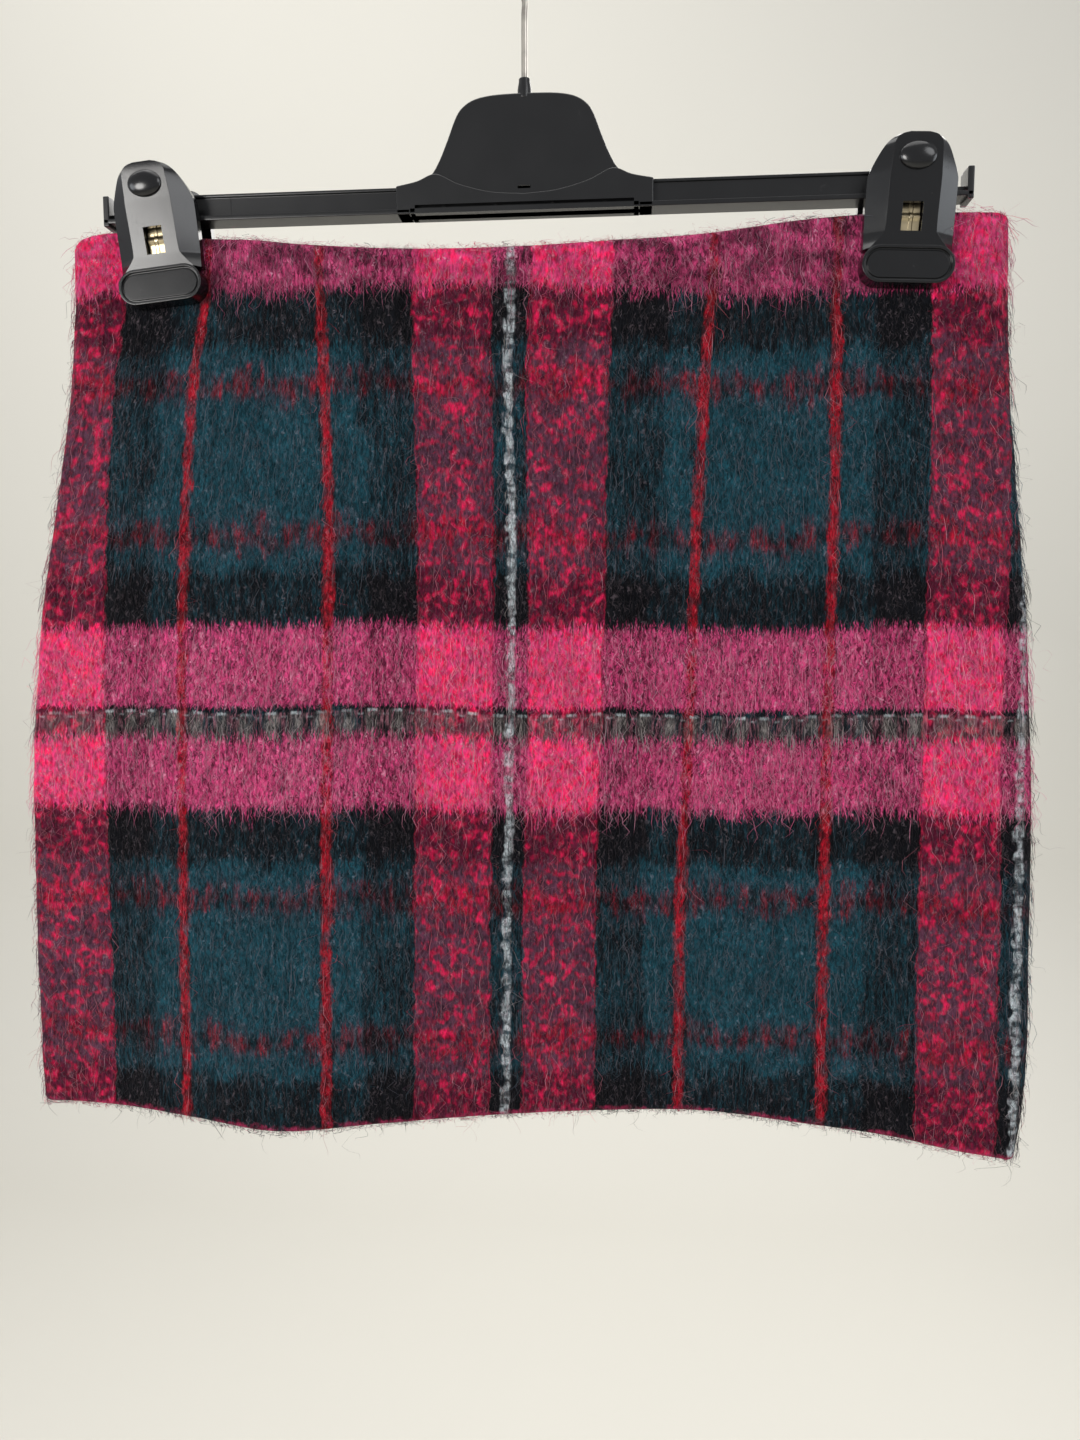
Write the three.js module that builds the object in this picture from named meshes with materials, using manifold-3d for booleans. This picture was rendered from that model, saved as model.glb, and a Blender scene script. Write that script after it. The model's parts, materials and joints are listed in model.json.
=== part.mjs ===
// A short straight skirt of thick brushed wool, hung flat by its waist from a clip hanger.
// Millimetres, +Z up, the front faces -Y. The origin is the point inside the hook where a rail bears.
// Heights are given as a drop: the distance below that point.
import * as THREE from "three";
import { mergeVertices } from "three/addons/utils/BufferGeometryUtils.js";
import Module from "manifold-3d";

const wasm = await Module();
wasm.setup();

// Driving dimensions of the cloth
const WALL = 3; // one layer of the brushed cloth
const TURNED_WALL = 4.8; // cloth and its turning, pressed together
const WAIST_TURNING = 25;
const HEM_TURNING = 30;
const TURNING_STEP = 2.5; // height over which the turning thins out to one layer
const SIDE_ROUND = 5.4; // outer radius of the cloth round each side seam
const SEAM_GAP = 0.3;
const FRONT_FULLNESS = 3; // how far each layer stands off between the sides
const BACK_FULLNESS = 3;
const WAIST_BACK_FULLNESS = 7.4; // the back waist gapes more, behind the zip
const LEAST_EDGE = 0.7; // flat left along the middle of a folded edge

// Side folds of the hung skirt
const SIDE_FOLDS = [
  { drop: 142, left: -198, right: 197.5 },
  { drop: 178, left: -199, right: 199 },
  { drop: 223, left: -204, right: 201.5 },
  { drop: 268, left: -212.7, right: 206 },
  { drop: 318, left: -221, right: 210.5 },
  { drop: 368, left: -226, right: 213.6 },
  { drop: 438, left: -227.8, right: 214.3 },
  { drop: 498, left: -228, right: 214 },
  { drop: 546, left: -226, right: 209 },
];

// Waist edge, which dips between the clips and droops at the left corner
const WAIST_EDGE = [
  { x: -199, drop: 148.5 },
  { x: -195, drop: 144.6 },
  { x: -188, drop: 142.4 },
  { x: -178, drop: 141.4 },
  { x: -158, drop: 143.2 },
  { x: -120, drop: 146.5 },
  { x: -95, drop: 149.4 },
  { x: -52, drop: 152.4 },
  { x: -8, drop: 153 },
  { x: 34, drop: 151.8 },
  { x: 74, drop: 150.2 },
  { x: 114, drop: 145.9 },
  { x: 140, drop: 143.5 },
  { x: 190, drop: 144.4 },
  { x: 199, drop: 145.6 },
];

// Hem of the front: how low it hangs, and how far it swings forward
const FRONT_HEM = [
  { x: -227, drop: 533, forward: 4 },
  { x: -190, drop: 531, forward: 6 },
  { x: -150, drop: 532.5, forward: 12 },
  { x: -109, drop: 535.6, forward: 16 },
  { x: -65, drop: 532.8, forward: 11 },
  { x: -20, drop: 530, forward: 5 },
  { x: 30, drop: 527, forward: 1.5 },
  { x: 78, drop: 525.6, forward: 0 },
  { x: 120, drop: 528, forward: 3 },
  { x: 160, drop: 529.8, forward: 9 },
  { x: 190, drop: 534, forward: 14 },
  { x: 213, drop: 537, forward: 16 },
];

// Hem of the back: the same sides, with soft folds that swing backward
const BACK_HEM = [
  { x: -227, drop: 533, backward: -4 },
  { x: -180, drop: 530, backward: 1 },
  { x: -120, drop: 529, backward: 5 },
  { x: -60, drop: 530, backward: 2 },
  { x: 0, drop: 529, backward: 4 },
  { x: 60, drop: 528, backward: 9 },
  { x: 110, drop: 529, backward: 6 },
  { x: 160, drop: 531, backward: -3 },
  { x: 190, drop: 534.5, backward: -10 },
  { x: 213, drop: 537, backward: -16 },
];
const SWING_START = 177; // drop where the folds begin, just below the clips
const SWING_FULL = 535;
const SWING_POWER = 1.3;

// How the panels are divided
const ROUND_STEPS = 3;
const FRONT_STEPS = 34;
const BACK_STEPS = 15;
const BODY_ROWS = 13;

// Zip in the centre back seam
const CENTRE_BACK = -6;
const ZIP = { length: 180, topClear: 5, tapeWidth: 12, tapeThick: 0.8, tapeInset: 1.4 };
const SLIDER = { below: 13, width: 6.4, height: 10, thick: 1.5, neck: 1.8, neckHeight: 4.6 };
const SLIDER_SLIT = { half: 1.3, reach: 5 };
const BRIDGE = { width: 1.6, half: 3.5, bar: 1.2, rise: 3.7 };
const TAB = { width: 6.4, length: 22, thick: 1.2, arm: 1.3, eye: 5.2, pin: 0.6, off: 2.75 };

// Hanger
const WIRE_RADIUS = 1.3;
const HOOK_RADIUS = 20; // inside the hook
const HOOK_TIP_ANGLE = -25;
const HOOK_TURN_ANGLE = 205;
const HOOK_ANGLE_STEP = 23;
const HOOK_STEPS = 44;
const CROWN = 90; // drop of the centre plate's top
const BAR = { half: 182.5, top: 126.5, bottom: 138, web: 2.2, flange: 5.4, flangeHigh: 2 };
const BAR_TOP_FLANGE = { half: 3.2, high: 1.3 };
const BAR_NOTCH = { from: 173.5, to: 180, high: 7 };
const LUG = { thick: 2.6, foot: 1.2 };
const PLATE = { half: 2.6, reach: 54, apron: 5.4 };
const APRON_SHOULDER = { x: 45, drop: 124.9 };
const PLATE_RECESS = { half: 46, top: 134.6, floor: 141, depth: 3 };
const PLATE_SLOT = { width: 5.4, high: 1.3, drop: 128.3 };
const BOSS = { bottom: 2.9, top: 2.4, drop: 83.6, bore: 1.6, seat: 110 };

const THROUGH = 9; // half depth of a cut right through the hanger

// The bend that brings the wire back under the bearing point, and the straight stem below it
const HOOK_OFFSET_BEND = [
  { x: -13.2, drop: 38.6 },
  { x: -4.4, drop: 45.2 },
  { x: 0, drop: 52 },
  { x: 0, drop: 58 },
  { x: 0, drop: 84 },
  { x: 0, drop: BOSS.seat - SEAM_GAP },
];

// Upper outline of the centre plate, from its middle outwards
const PLATE_OUTLINE = [
  { x: 0, drop: 90 },
  { x: 13, drop: 90.4 },
  { x: 21, drop: 91.9 },
  { x: 26, drop: 94.9 },
  { x: 29, drop: 99.2 },
  { x: 32.5, drop: 108 },
  { x: 36, drop: 116 },
  { x: 39.6, drop: 121.6 },
  { x: 45, drop: 124.7 },
  { x: 54, drop: 125.6 },
];

// Curved ledge where the apron stands out from the plate
const LEDGE = [
  { x: 0, drop: 131.2 },
  { x: 14, drop: 130 },
  { x: 27, drop: 126.6 },
  { x: 37, drop: 122.2 },
];

// Clips, in a frame of their own: z is the height above the middle of the bar
const CLIPS = [
  { side: "left", x: -157.7, lean: -5.7 },
  { side: "right", x: 157, lean: 2.6 },
];
const CLIP_DROP = 132;
const CLOTH_FACE = 5.85; // the pads stand this far from the middle of the cloth
const PINCH = { half: 21, lowest: 176, fade: 15 }; // the cloth that each clip presses flat
const JAW_SECTIONS = [
  { z: 14, half: 4.6, panel: 3.6, face: 18, edge: 16.6, inside: 14.2 },
  { z: 13, half: 8.6, panel: 7, face: 18, edge: 16, inside: 13.8 },
  { z: 10.8, half: 11.8, panel: 9, face: 17.8, edge: 14.8, inside: 12.6 },
  { z: 7, half: 14.4, panel: 9.5, face: 17.3, edge: 13, inside: 10.4 },
  { z: 1, half: 17.2, panel: 9.8, face: 16.5, edge: 11, inside: 7 },
  { z: -3, half: 17.8, panel: 10, face: 16, edge: 10.2, inside: 5.85 },
  { z: -20, half: 17.7, panel: 10, face: 14, edge: 9.6, inside: 5.85 },
  { z: -23.5, half: 17.6, panel: 11, face: 13.6, edge: 9.6, inside: 5.85 },
  { z: -28.6, half: 17.6, panel: 15.4, face: 13.1, edge: 10.2, inside: 5.85 },
];
const LIP = { half: 18.2, top: -27.6, bottom: -42.2, face: 14.6, rim: 1.1, recess: 0.7 };
const DOME = { half: 7.4, high: 5.4, rise: 2.6, z: 5.6, seat: 16.9 };
const WINDOW = { half: 4, top: -11.2, bottom: -22 };
const CAVITY = { half: 4, top: -7.3, bottom: -22.4, depth: 13 };
const SPRING = { half: 3.6, thick: 0.7 };
const SPRING_PATH = [
  { out: 0, z: -8.4 },
  { out: 8.4, z: -8.4 },
  { out: 10.6, z: -9.7 },
  { out: 11.3, z: -12.6 },
  { out: 11.3, z: -14.6 },
  { out: 12.2, z: -16.2 },
  { out: 11.3, z: -17.8 },
  { out: 10.9, z: -21.4 },
];

const cloth = new THREE.MeshStandardMaterial({ color: 0x6b1a33, roughness: 0.95, metalness: 0 });
const tape = new THREE.MeshStandardMaterial({ color: 0x17181c, roughness: 0.9, metalness: 0 });
const blackMetal = new THREE.MeshStandardMaterial({ color: 0x1b1b1e, roughness: 0.4, metalness: 0.8 });
const blackPlastic = new THREE.MeshStandardMaterial({ color: 0x1e1f22, roughness: 0.35, metalness: 0 });
const steel = new THREE.MeshStandardMaterial({ color: 0x9a948a, roughness: 0.3, metalness: 1 });
const springSteel = new THREE.MeshStandardMaterial({ color: 0xb7a684, roughness: 0.3, metalness: 1 });

const object = new THREE.Group();

// Adds a named mesh to a group.
function add(group, name, geometry, material) {
  const mesh = new THREE.Mesh(geometry, material);
  mesh.name = name;
  group.add(mesh);
  return mesh;
}

// A smooth curve through a table's rows, from one named column to another, level past its ends.
function curveOf(table, from, to) {
  const last = table.length - 1;
  const slopes = table.map((row, i) => {
    const before = table[Math.max(i - 1, 0)];
    const after = table[Math.min(i + 1, last)];
    return (after[to] - before[to]) / (after[from] - before[from]);
  });
  return (at) => {
    const t = THREE.MathUtils.clamp(at, table[0][from], table[last][from]);
    let i = 0;
    while (i < last - 1 && t > table[i + 1][from]) i += 1;
    const span = table[i + 1][from] - table[i][from];
    const s = (t - table[i][from]) / span;
    const rise = table[i + 1][to] - table[i][to];
    const startBend = s * (1 - s) * (1 - s) * (slopes[i] * span - rise);
    const endBend = s * s * (1 - s) * (rise - slopes[i + 1] * span);
    return table[i][to] + rise * s + startBend + endBend;
  };
}

const leftFold = curveOf(SIDE_FOLDS, "drop", "left");
const rightFold = curveOf(SIDE_FOLDS, "drop", "right");
const waistDrop = curveOf(WAIST_EDGE, "x", "drop");
const frontHemDrop = curveOf(FRONT_HEM, "x", "drop");
const backHemDrop = curveOf(BACK_HEM, "x", "drop");
const frontForward = curveOf(FRONT_HEM, "x", "forward");
const backBackward = curveOf(BACK_HEM, "x", "backward");

// How much of the hem's swing the cloth has at a height.
function swing(drop) {
  const part = THREE.MathUtils.clamp((drop - SWING_START) / (SWING_FULL - SWING_START), 0, 1);
  return part ** SWING_POWER;
}

// 1 where a clip presses the layers together, fading to 0 around it.
function pinch(x, drop) {
  let most = 0;
  for (const clip of CLIPS) {
    const middle = clip.x - Math.sin(THREE.MathUtils.degToRad(clip.lean)) * (drop - CLIP_DROP);
    const aside = Math.max(Math.abs(x - middle) - PINCH.half, 0);
    const below = Math.max(drop - PINCH.lowest, 0);
    const away = Math.hypot(aside, below) / PINCH.fade;
    most = Math.max(most, Math.exp(-away * away));
  }
  return most;
}

// 0 at the side folds, rising to 1 a hand's width in from them.
function awayFromSides(x, drop) {
  const inset = Math.min(x - leftFold(drop), rightFold(drop) - x) - SIDE_ROUND;
  return THREE.MathUtils.smoothstep(inset, 0, 34);
}

// Depth of the front's outer face and of the back's, at a place on the flat of the skirt.
function frontDepth(x, drop) {
  const full = FRONT_FULLNESS * awayFromSides(x, drop) * (1 - pinch(x, drop));
  return -SIDE_ROUND - full - frontForward(x) * swing(drop);
}

function backDepth(x, drop) {
  const waist = 1 - THREE.MathUtils.smoothstep(drop, 150, 330);
  const middle = Math.exp(-(((x - CENTRE_BACK) / 62) ** 2));
  const gape = (WAIST_BACK_FULLNESS - BACK_FULLNESS) * waist * middle;
  const full = (BACK_FULLNESS + gape) * awayFromSides(x, drop) * (1 - pinch(x, drop));
  return SIDE_ROUND + full + backBackward(x) * swing(drop);
}

// Rows down a panel: near the edges by distance from them, and between them by share.
const EDGE_ROWS = [0, 0.6, TURNED_WALL / 2];
const BELOW_CLIPS = 34;
const waistRows = [...EDGE_ROWS, 13, WAIST_TURNING, WAIST_TURNING + TURNING_STEP, BELOW_CLIPS];
const hemRows = [...EDGE_ROWS, 15, HEM_TURNING, HEM_TURNING + TURNING_STEP].reverse();
const panelRows = [
  ...waistRows.map((fromWaist) => ({ fromWaist })),
  ...Array.from({ length: BODY_ROWS - 1 }, (_, i) => ({ share: (i + 1) / BODY_ROWS })),
  ...hemRows.map((fromHem) => ({ fromHem })),
];

// Drop of a row at a place across the skirt.
function dropOfRow(row, x, hemDrop) {
  const waist = waistDrop(x);
  const hem = hemDrop(x);
  if (row.fromWaist !== undefined) return waist + row.fromWaist;
  if (row.fromHem !== undefined) return hem - row.fromHem;
  const top = waist + BELOW_CLIPS;
  const bottom = hem - HEM_TURNING - TURNING_STEP;
  return top + (bottom - top) * row.share;
}

// Thickness of the cloth at a distance from the waist edge and from the hem.
function wallAt(fromWaist, fromHem) {
  const { smoothstep } = THREE.MathUtils;
  const waist = 1 - smoothstep(fromWaist, WAIST_TURNING, WAIST_TURNING + TURNING_STEP);
  const hem = 1 - smoothstep(fromHem, HEM_TURNING, HEM_TURNING + TURNING_STEP);
  return WALL + (TURNED_WALL - WALL) * Math.max(waist, hem);
}

// How far each face draws in to round a folded edge.
function edgeInset(fromEdge, wall) {
  const radius = wall / 2;
  if (fromEdge >= radius) return 0;
  const rise = radius - Math.max(fromEdge, 0);
  return Math.min(radius - Math.sqrt(radius * radius - rise * rise), radius - LEAST_EDGE / 2);
}

// Half the opening of the centre back seam, which the zip's slider spreads.
function seamHalfGap(drop) {
  const away = (drop - waistDrop(CENTRE_BACK) - SLIDER.below) / SLIDER_SLIT.reach;
  const spread = Math.abs(away) < 1 ? SLIDER_SLIT.half : 0;
  return Math.max(SEAM_GAP / 2, spread);
}

// A panel is described by its columns. Each gives the outer point and its outward direction at a drop.
// A round column turns about the side fold, and a flat one lies on the front or back.
function roundColumn(foldX, side, layer, angle) {
  const depthSign = layer === "front" ? -1 : 1;
  return (drop) => {
    const foldDepth = -frontForward(foldX(drop)) * swing(drop) + (depthSign * SEAM_GAP) / 2;
    const across = Math.cos(angle) * side;
    const out = Math.sin(angle) * depthSign;
    const centreX = foldX(drop) - side * SIDE_ROUND;
    return {
      x: centreX + across * SIDE_ROUND,
      y: foldDepth + out * SIDE_ROUND,
      nx: across,
      ny: out,
    };
  };
}

function flatColumn(xAt, layer, square) {
  const depth = layer === "front" ? frontDepth : backDepth;
  const depthSign = layer === "front" ? -1 : 1;
  const reach = 0.5;
  return (drop) => {
    const x = xAt(drop);
    const slope = (depth(x + reach, drop) - depth(x - reach, drop)) / (2 * reach);
    const turn = square ? 0 : slope;
    const length = Math.hypot(1, turn);
    return {
      x,
      y: depth(x, drop) + (depthSign * SEAM_GAP) / 2,
      nx: (-depthSign * turn) / length,
      ny: depthSign / length,
    };
  };
}

function frontColumns() {
  const columns = [];
  for (let i = 0; i < ROUND_STEPS; i += 1) {
    columns.push(roundColumn(leftFold, -1, "front", (i / ROUND_STEPS) * (Math.PI / 2)));
  }
  for (let i = 0; i <= FRONT_STEPS; i += 1) {
    const share = i / FRONT_STEPS;
    const xAt = (drop) => {
      const left = leftFold(drop) + SIDE_ROUND;
      return left + (rightFold(drop) - SIDE_ROUND - left) * share;
    };
    columns.push(flatColumn(xAt, "front", i === 0 || i === FRONT_STEPS));
  }
  for (let i = ROUND_STEPS - 1; i >= 0; i -= 1) {
    columns.push(roundColumn(rightFold, 1, "front", (i / ROUND_STEPS) * (Math.PI / 2)));
  }
  return columns;
}

// Half of the back, from the side fold to the centre seam or the other way, left to right from behind.
function backColumns(side) {
  const fold = side < 0 ? leftFold : rightFold;
  const columns = [];
  for (let i = 0; i < ROUND_STEPS; i += 1) {
    columns.push(roundColumn(fold, side, "back", (i / ROUND_STEPS) * (Math.PI / 2)));
  }
  for (let i = 0; i <= BACK_STEPS; i += 1) {
    const share = i / BACK_STEPS;
    const xAt = (drop) => {
      const outer = fold(drop) - side * SIDE_ROUND;
      const centre = CENTRE_BACK + side * seamHalfGap(drop);
      return outer + (centre - outer) * share;
    };
    columns.push(flatColumn(xAt, "back", i === 0 || i === BACK_STEPS));
  }
  return side > 0 ? columns : columns.reverse();
}

// The point of a column on a row, with its distances from the waist edge and the hem.
function placeOn(column, row, hemDrop) {
  let drop = 300;
  for (let i = 0; i < 6; i += 1) drop = dropOfRow(row, column(drop).x, hemDrop);
  const point = column(drop);
  const fromWaist = drop - waistDrop(point.x);
  const fromHem = hemDrop(point.x) - drop;
  return { ...point, drop, fromWaist, fromHem };
}

// A closed solid between two grids of points, seen from outside with its rows down and columns rightwards.
function solidBetween(outer, inner) {
  const rows = outer.length;
  const columns = outer[0].length;
  const positions = [...outer.flat(2), ...inner.flat(2)];
  const out = (r, c) => r * columns + c;
  const into = (r, c) => rows * columns + r * columns + c;
  const index = [];
  const quad = (a, b, c, d) => index.push(a, b, c, a, c, d);
  for (let r = 0; r < rows - 1; r += 1) {
    for (let c = 0; c < columns - 1; c += 1) {
      quad(out(r, c), out(r + 1, c), out(r + 1, c + 1), out(r, c + 1));
      quad(into(r, c), into(r, c + 1), into(r + 1, c + 1), into(r + 1, c));
    }
    quad(out(r + 1, 0), out(r, 0), into(r, 0), into(r + 1, 0));
    quad(out(r, columns - 1), out(r + 1, columns - 1), into(r + 1, columns - 1), into(r, columns - 1));
  }
  for (let c = 0; c < columns - 1; c += 1) {
    quad(out(0, c), out(0, c + 1), into(0, c + 1), into(0, c));
    quad(out(rows - 1, c + 1), out(rows - 1, c), into(rows - 1, c), into(rows - 1, c + 1));
  }
  const geometry = new THREE.BufferGeometry();
  geometry.setAttribute("position", new THREE.Float32BufferAttribute(positions, 3));
  geometry.setIndex(index);
  return geometry;
}

// The point at a depth inside the cloth's outer face.
function inside(place, depth) {
  return [place.x - place.nx * depth, place.y - place.ny * depth, -place.drop];
}

function panel(columns, hemDrop) {
  const outer = [];
  const inner = [];
  for (const row of panelRows) {
    const places = columns.map((column) => placeOn(column, row, hemDrop));
    const depths = places.map((place) => {
      const wall = wallAt(place.fromWaist, place.fromHem);
      const inset = edgeInset(Math.min(place.fromWaist, place.fromHem), wall);
      return { near: inset, far: wall - inset };
    });
    outer.push(places.map((place, i) => inside(place, depths[i].near)));
    inner.push(places.map((place, i) => inside(place, depths[i].far)));
  }
  return solidBetween(outer, inner);
}

// One tape of the zip, lying on the inner face of its half of the back.
function zipTape(side) {
  const rows = [ZIP.topClear, 14, WAIST_TURNING, WAIST_TURNING + TURNING_STEP, 70, 125, ZIP.length];
  const offsets = [ZIP.tapeInset, ZIP.tapeInset + ZIP.tapeWidth / 2, ZIP.tapeInset + ZIP.tapeWidth];
  const inOrder = side > 0 ? [...offsets].reverse() : offsets;
  const columns = inOrder.map((offset) => flatColumn(() => CENTRE_BACK + side * offset, "back", true));
  const near = [];
  const far = [];
  for (const fromWaist of rows) {
    const places = columns.map((column) => placeOn(column, { fromWaist }, backHemDrop));
    const faces = places.map((place) => wallAt(place.fromWaist, place.fromHem) + SEAM_GAP);
    near.push(places.map((place, i) => inside(place, faces[i])));
    far.push(places.map((place, i) => inside(place, faces[i] + ZIP.tapeThick)));
  }
  return solidBetween(near, far);
}

add(object, "front_panel", panel(frontColumns(), frontHemDrop), cloth);
add(object, "back_panel_left", panel(backColumns(-1), backHemDrop), cloth);
add(object, "back_panel_right", panel(backColumns(1), backHemDrop), cloth);
add(object, "zip_tape_left", zipTape(-1), tape);
add(object, "zip_tape_right", zipTape(1), tape);

// Booleans: a closed geometry as a solid, and back again.
function solid(geometry) {
  const bare = geometry.clone();
  bare.deleteAttribute("normal");
  bare.deleteAttribute("uv");
  const merged = mergeVertices(bare, 1e-4);
  return new wasm.Manifold(
    new wasm.Mesh({
      numProp: 3,
      vertProperties: new Float32Array(merged.attributes.position.array),
      triVerts: new Uint32Array(merged.index.array),
    }),
  );
}

function geometryOf(shape) {
  const mesh = shape.getMesh();
  const geometry = new THREE.BufferGeometry();
  geometry.setAttribute("position", new THREE.BufferAttribute(new Float32Array(mesh.vertProperties), 3));
  geometry.setIndex(new THREE.BufferAttribute(new Uint32Array(mesh.triVerts), 1));
  return geometry;
}

function block(x0, x1, y0, y1, z0, z1) {
  const box = new THREE.BoxGeometry(x1 - x0, y1 - y0, z1 - z0);
  box.translate((x0 + x1) / 2, (y0 + y1) / 2, (z0 + z1) / 2);
  return solid(box);
}

// A block centred in x and y.
function evenBlock(halfX, halfY, z0, z1) {
  return block(-halfX, halfX, -halfY, halfY, z0, z1);
}

// An upright round post, or a tapered one.
function upright(topRadius, footRadius, z0, z1) {
  const post = new THREE.CylinderGeometry(topRadius, footRadius, z1 - z0, 16);
  post.rotateX(Math.PI / 2);
  post.translate(0, 0, (z0 + z1) / 2);
  return solid(post);
}

function spanOf(a, b) {
  return [Math.min(a, b), Math.max(a, b)];
}

function join(solids) {
  return solids.reduce((whole, next) => whole.add(next));
}

// A plate of an outline in x and z, from one depth to another.
function plateOf(points, y0, y1) {
  const shape = new THREE.Shape(points.map((p) => new THREE.Vector2(p.x, p.z)));
  const geometry = new THREE.ExtrudeGeometry(shape, { depth: y1 - y0, bevelEnabled: false });
  geometry.rotateX(Math.PI / 2);
  geometry.translate(0, y1, 0);
  return solid(geometry);
}

// Zip slider and its pull tab, which hangs from the slider's bridge
const sliderDrop = waistDrop(CENTRE_BACK) + SLIDER.below;
const backFace = backDepth(CENTRE_BACK, sliderDrop) + SEAM_GAP / 2;
const tapeInner = backFace - TURNED_WALL - SEAM_GAP - ZIP.tapeThick;

function zipSlider() {
  const capNear = backFace + SEAM_GAP;
  const capFar = capNear + SLIDER.thick;
  const bodyFar = tapeInner - SEAM_GAP;
  const half = SLIDER.width / 2;
  const tall = SLIDER.height / 2;
  const neck = SLIDER.neck / 2;
  const bridge = BRIDGE.width / 2;
  const foot = BRIDGE.half - BRIDGE.bar;
  const peak = backFace + BRIDGE.rise;
  const parts = [
    block(-half, half, capNear, capFar, -tall, tall),
    block(-half, half, bodyFar - SLIDER.thick, bodyFar, -tall, tall),
    block(-neck, neck, bodyFar - 0.1, capNear + 0.1, -SLIDER.neckHeight / 2, SLIDER.neckHeight / 2),
    block(-bridge, bridge, peak, peak + BRIDGE.bar, -BRIDGE.half, BRIDGE.half),
    block(-bridge, bridge, capFar - 0.1, peak + 0.1, foot, BRIDGE.half),
    block(-bridge, bridge, capFar - 0.1, peak + 0.1, -BRIDGE.half, -foot),
  ];
  return geometryOf(join(parts).translate([CENTRE_BACK, 0, -sliderDrop]));
}

function pullTab() {
  const half = TAB.width / 2;
  const thick = TAB.thick / 2;
  const corner = 2.2;
  const leaf = [
    { x: -half, z: -TAB.eye },
    { x: -half + 0.6, z: -TAB.length + corner },
    { x: -half + corner, z: -TAB.length },
    { x: half - corner, z: -TAB.length },
    { x: half - 0.6, z: -TAB.length + corner },
    { x: half, z: -TAB.eye },
  ];
  const pin = new THREE.CylinderGeometry(TAB.pin, TAB.pin, TAB.width, 8);
  pin.rotateZ(Math.PI / 2);
  const parts = [
    plateOf(leaf, -thick, thick),
    block(-half, -half + TAB.arm, -thick, thick, -TAB.eye - 0.1, TAB.pin),
    block(half - TAB.arm, half, -thick, thick, -TAB.eye - 0.1, TAB.pin),
    solid(pin),
  ];
  return geometryOf(join(parts).translate([CENTRE_BACK, backFace + TAB.off, -sliderDrop]));
}

add(object, "zip_slider", zipSlider(), blackMetal);
add(object, "zip_pull_tab", pullTab(), blackMetal);

// Hanger frame: centre plate, bar, end lugs and the boss that holds the hook
function mirrored(points) {
  const right = points.map((p) => ({ x: p.x, z: -p.drop }));
  const left = points.slice(1).map((p) => ({ x: -p.x, z: -p.drop }));
  return [...left.reverse(), ...right];
}

function hangerFrame() {
  const barTop = -BAR.top;
  const barBottom = -BAR.bottom;
  const upper = mirrored(PLATE_OUTLINE);
  const ledge = mirrored(LEDGE);
  const corners = [
    { x: PLATE.reach, z: barBottom },
    { x: -PLATE.reach, z: barBottom },
  ];
  const shoulder = [
    { x: APRON_SHOULDER.x, z: -APRON_SHOULDER.drop },
    { x: PLATE.reach, z: barTop - 0.2 },
  ];
  const otherShoulder = shoulder.map((p) => ({ x: -p.x, z: p.z })).reverse();
  const bossTop = -BOSS.drop;
  const bossFoot = -CROWN - 2;
  const parts = [
    plateOf([...upper, ...corners], -PLATE.half, PLATE.half),
    plateOf([...ledge, ...shoulder, ...corners, ...otherShoulder], -PLATE.apron, PLATE.apron),
    evenBlock(BAR.half, BAR.web, barBottom, barTop),
    evenBlock(BAR.half, BAR.flange, barBottom, barBottom + BAR.flangeHigh),
    evenBlock(BAR.half, BAR_TOP_FLANGE.half, barTop - BAR_TOP_FLANGE.high, barTop),
    upright(BOSS.top, BOSS.bottom, bossFoot, bossTop),
  ];
  const slotBottom = -PLATE_SLOT.drop;
  const cuts = [
    upright(BOSS.bore, BOSS.bore, -BOSS.seat, bossTop + 1),
    evenBlock(PLATE_SLOT.width / 2, THROUGH, slotBottom, slotBottom + PLATE_SLOT.high),
  ];
  for (const side of [-1, 1]) {
    const notch = spanOf(side * BAR_NOTCH.from, side * BAR_NOTCH.to);
    const lug = spanOf(side * (BAR.half - LUG.thick), side * BAR.half);
    const recess = spanOf(side * (PLATE.apron - PLATE_RECESS.depth), side * THROUGH);
    cuts.push(block(...notch, -THROUGH, THROUGH, barTop - BAR_NOTCH.high, barTop + 1));
    const recessHigh = [-PLATE_RECESS.floor, -PLATE_RECESS.top];
    cuts.push(block(-PLATE_RECESS.half, PLATE_RECESS.half, ...recess, ...recessHigh));
    parts.push(block(...lug, -BAR.flange, BAR.flange, barBottom - LUG.foot, barTop));
  }
  return geometryOf(cuts.reduce((whole, cut) => whole.subtract(cut), join(parts)));
}

// Middle line of the hook: a straight stem, an offset bend and an open arc over the bearing point.
function hookLine() {
  const radius = HOOK_RADIUS + WIRE_RADIUS;
  const points = [];
  for (let angle = HOOK_TIP_ANGLE; angle <= HOOK_TURN_ANGLE; angle += HOOK_ANGLE_STEP) {
    const a = THREE.MathUtils.degToRad(angle);
    points.push(new THREE.Vector3(radius * Math.cos(a), 0, -HOOK_RADIUS + radius * Math.sin(a)));
  }
  for (const bend of HOOK_OFFSET_BEND) points.push(new THREE.Vector3(bend.x, 0, -bend.drop));
  return new THREE.CatmullRomCurve3(points, false, "centripetal");
}

function wireHook() {
  const sides = 8;
  const section = new THREE.Shape();
  for (let i = 0; i < sides; i += 1) {
    const a = (i / sides) * 2 * Math.PI;
    const at = [WIRE_RADIUS * Math.cos(a), WIRE_RADIUS * Math.sin(a)];
    if (i === 0) section.moveTo(...at);
    else section.lineTo(...at);
  }
  section.closePath();
  const extrudePath = hookLine();
  return new THREE.ExtrudeGeometry(section, { steps: HOOK_STEPS, bevelEnabled: false, extrudePath });
}

add(object, "hanger_frame", hangerFrame(), blackPlastic);
add(object, "wire_hook", wireHook(), steel);

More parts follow.
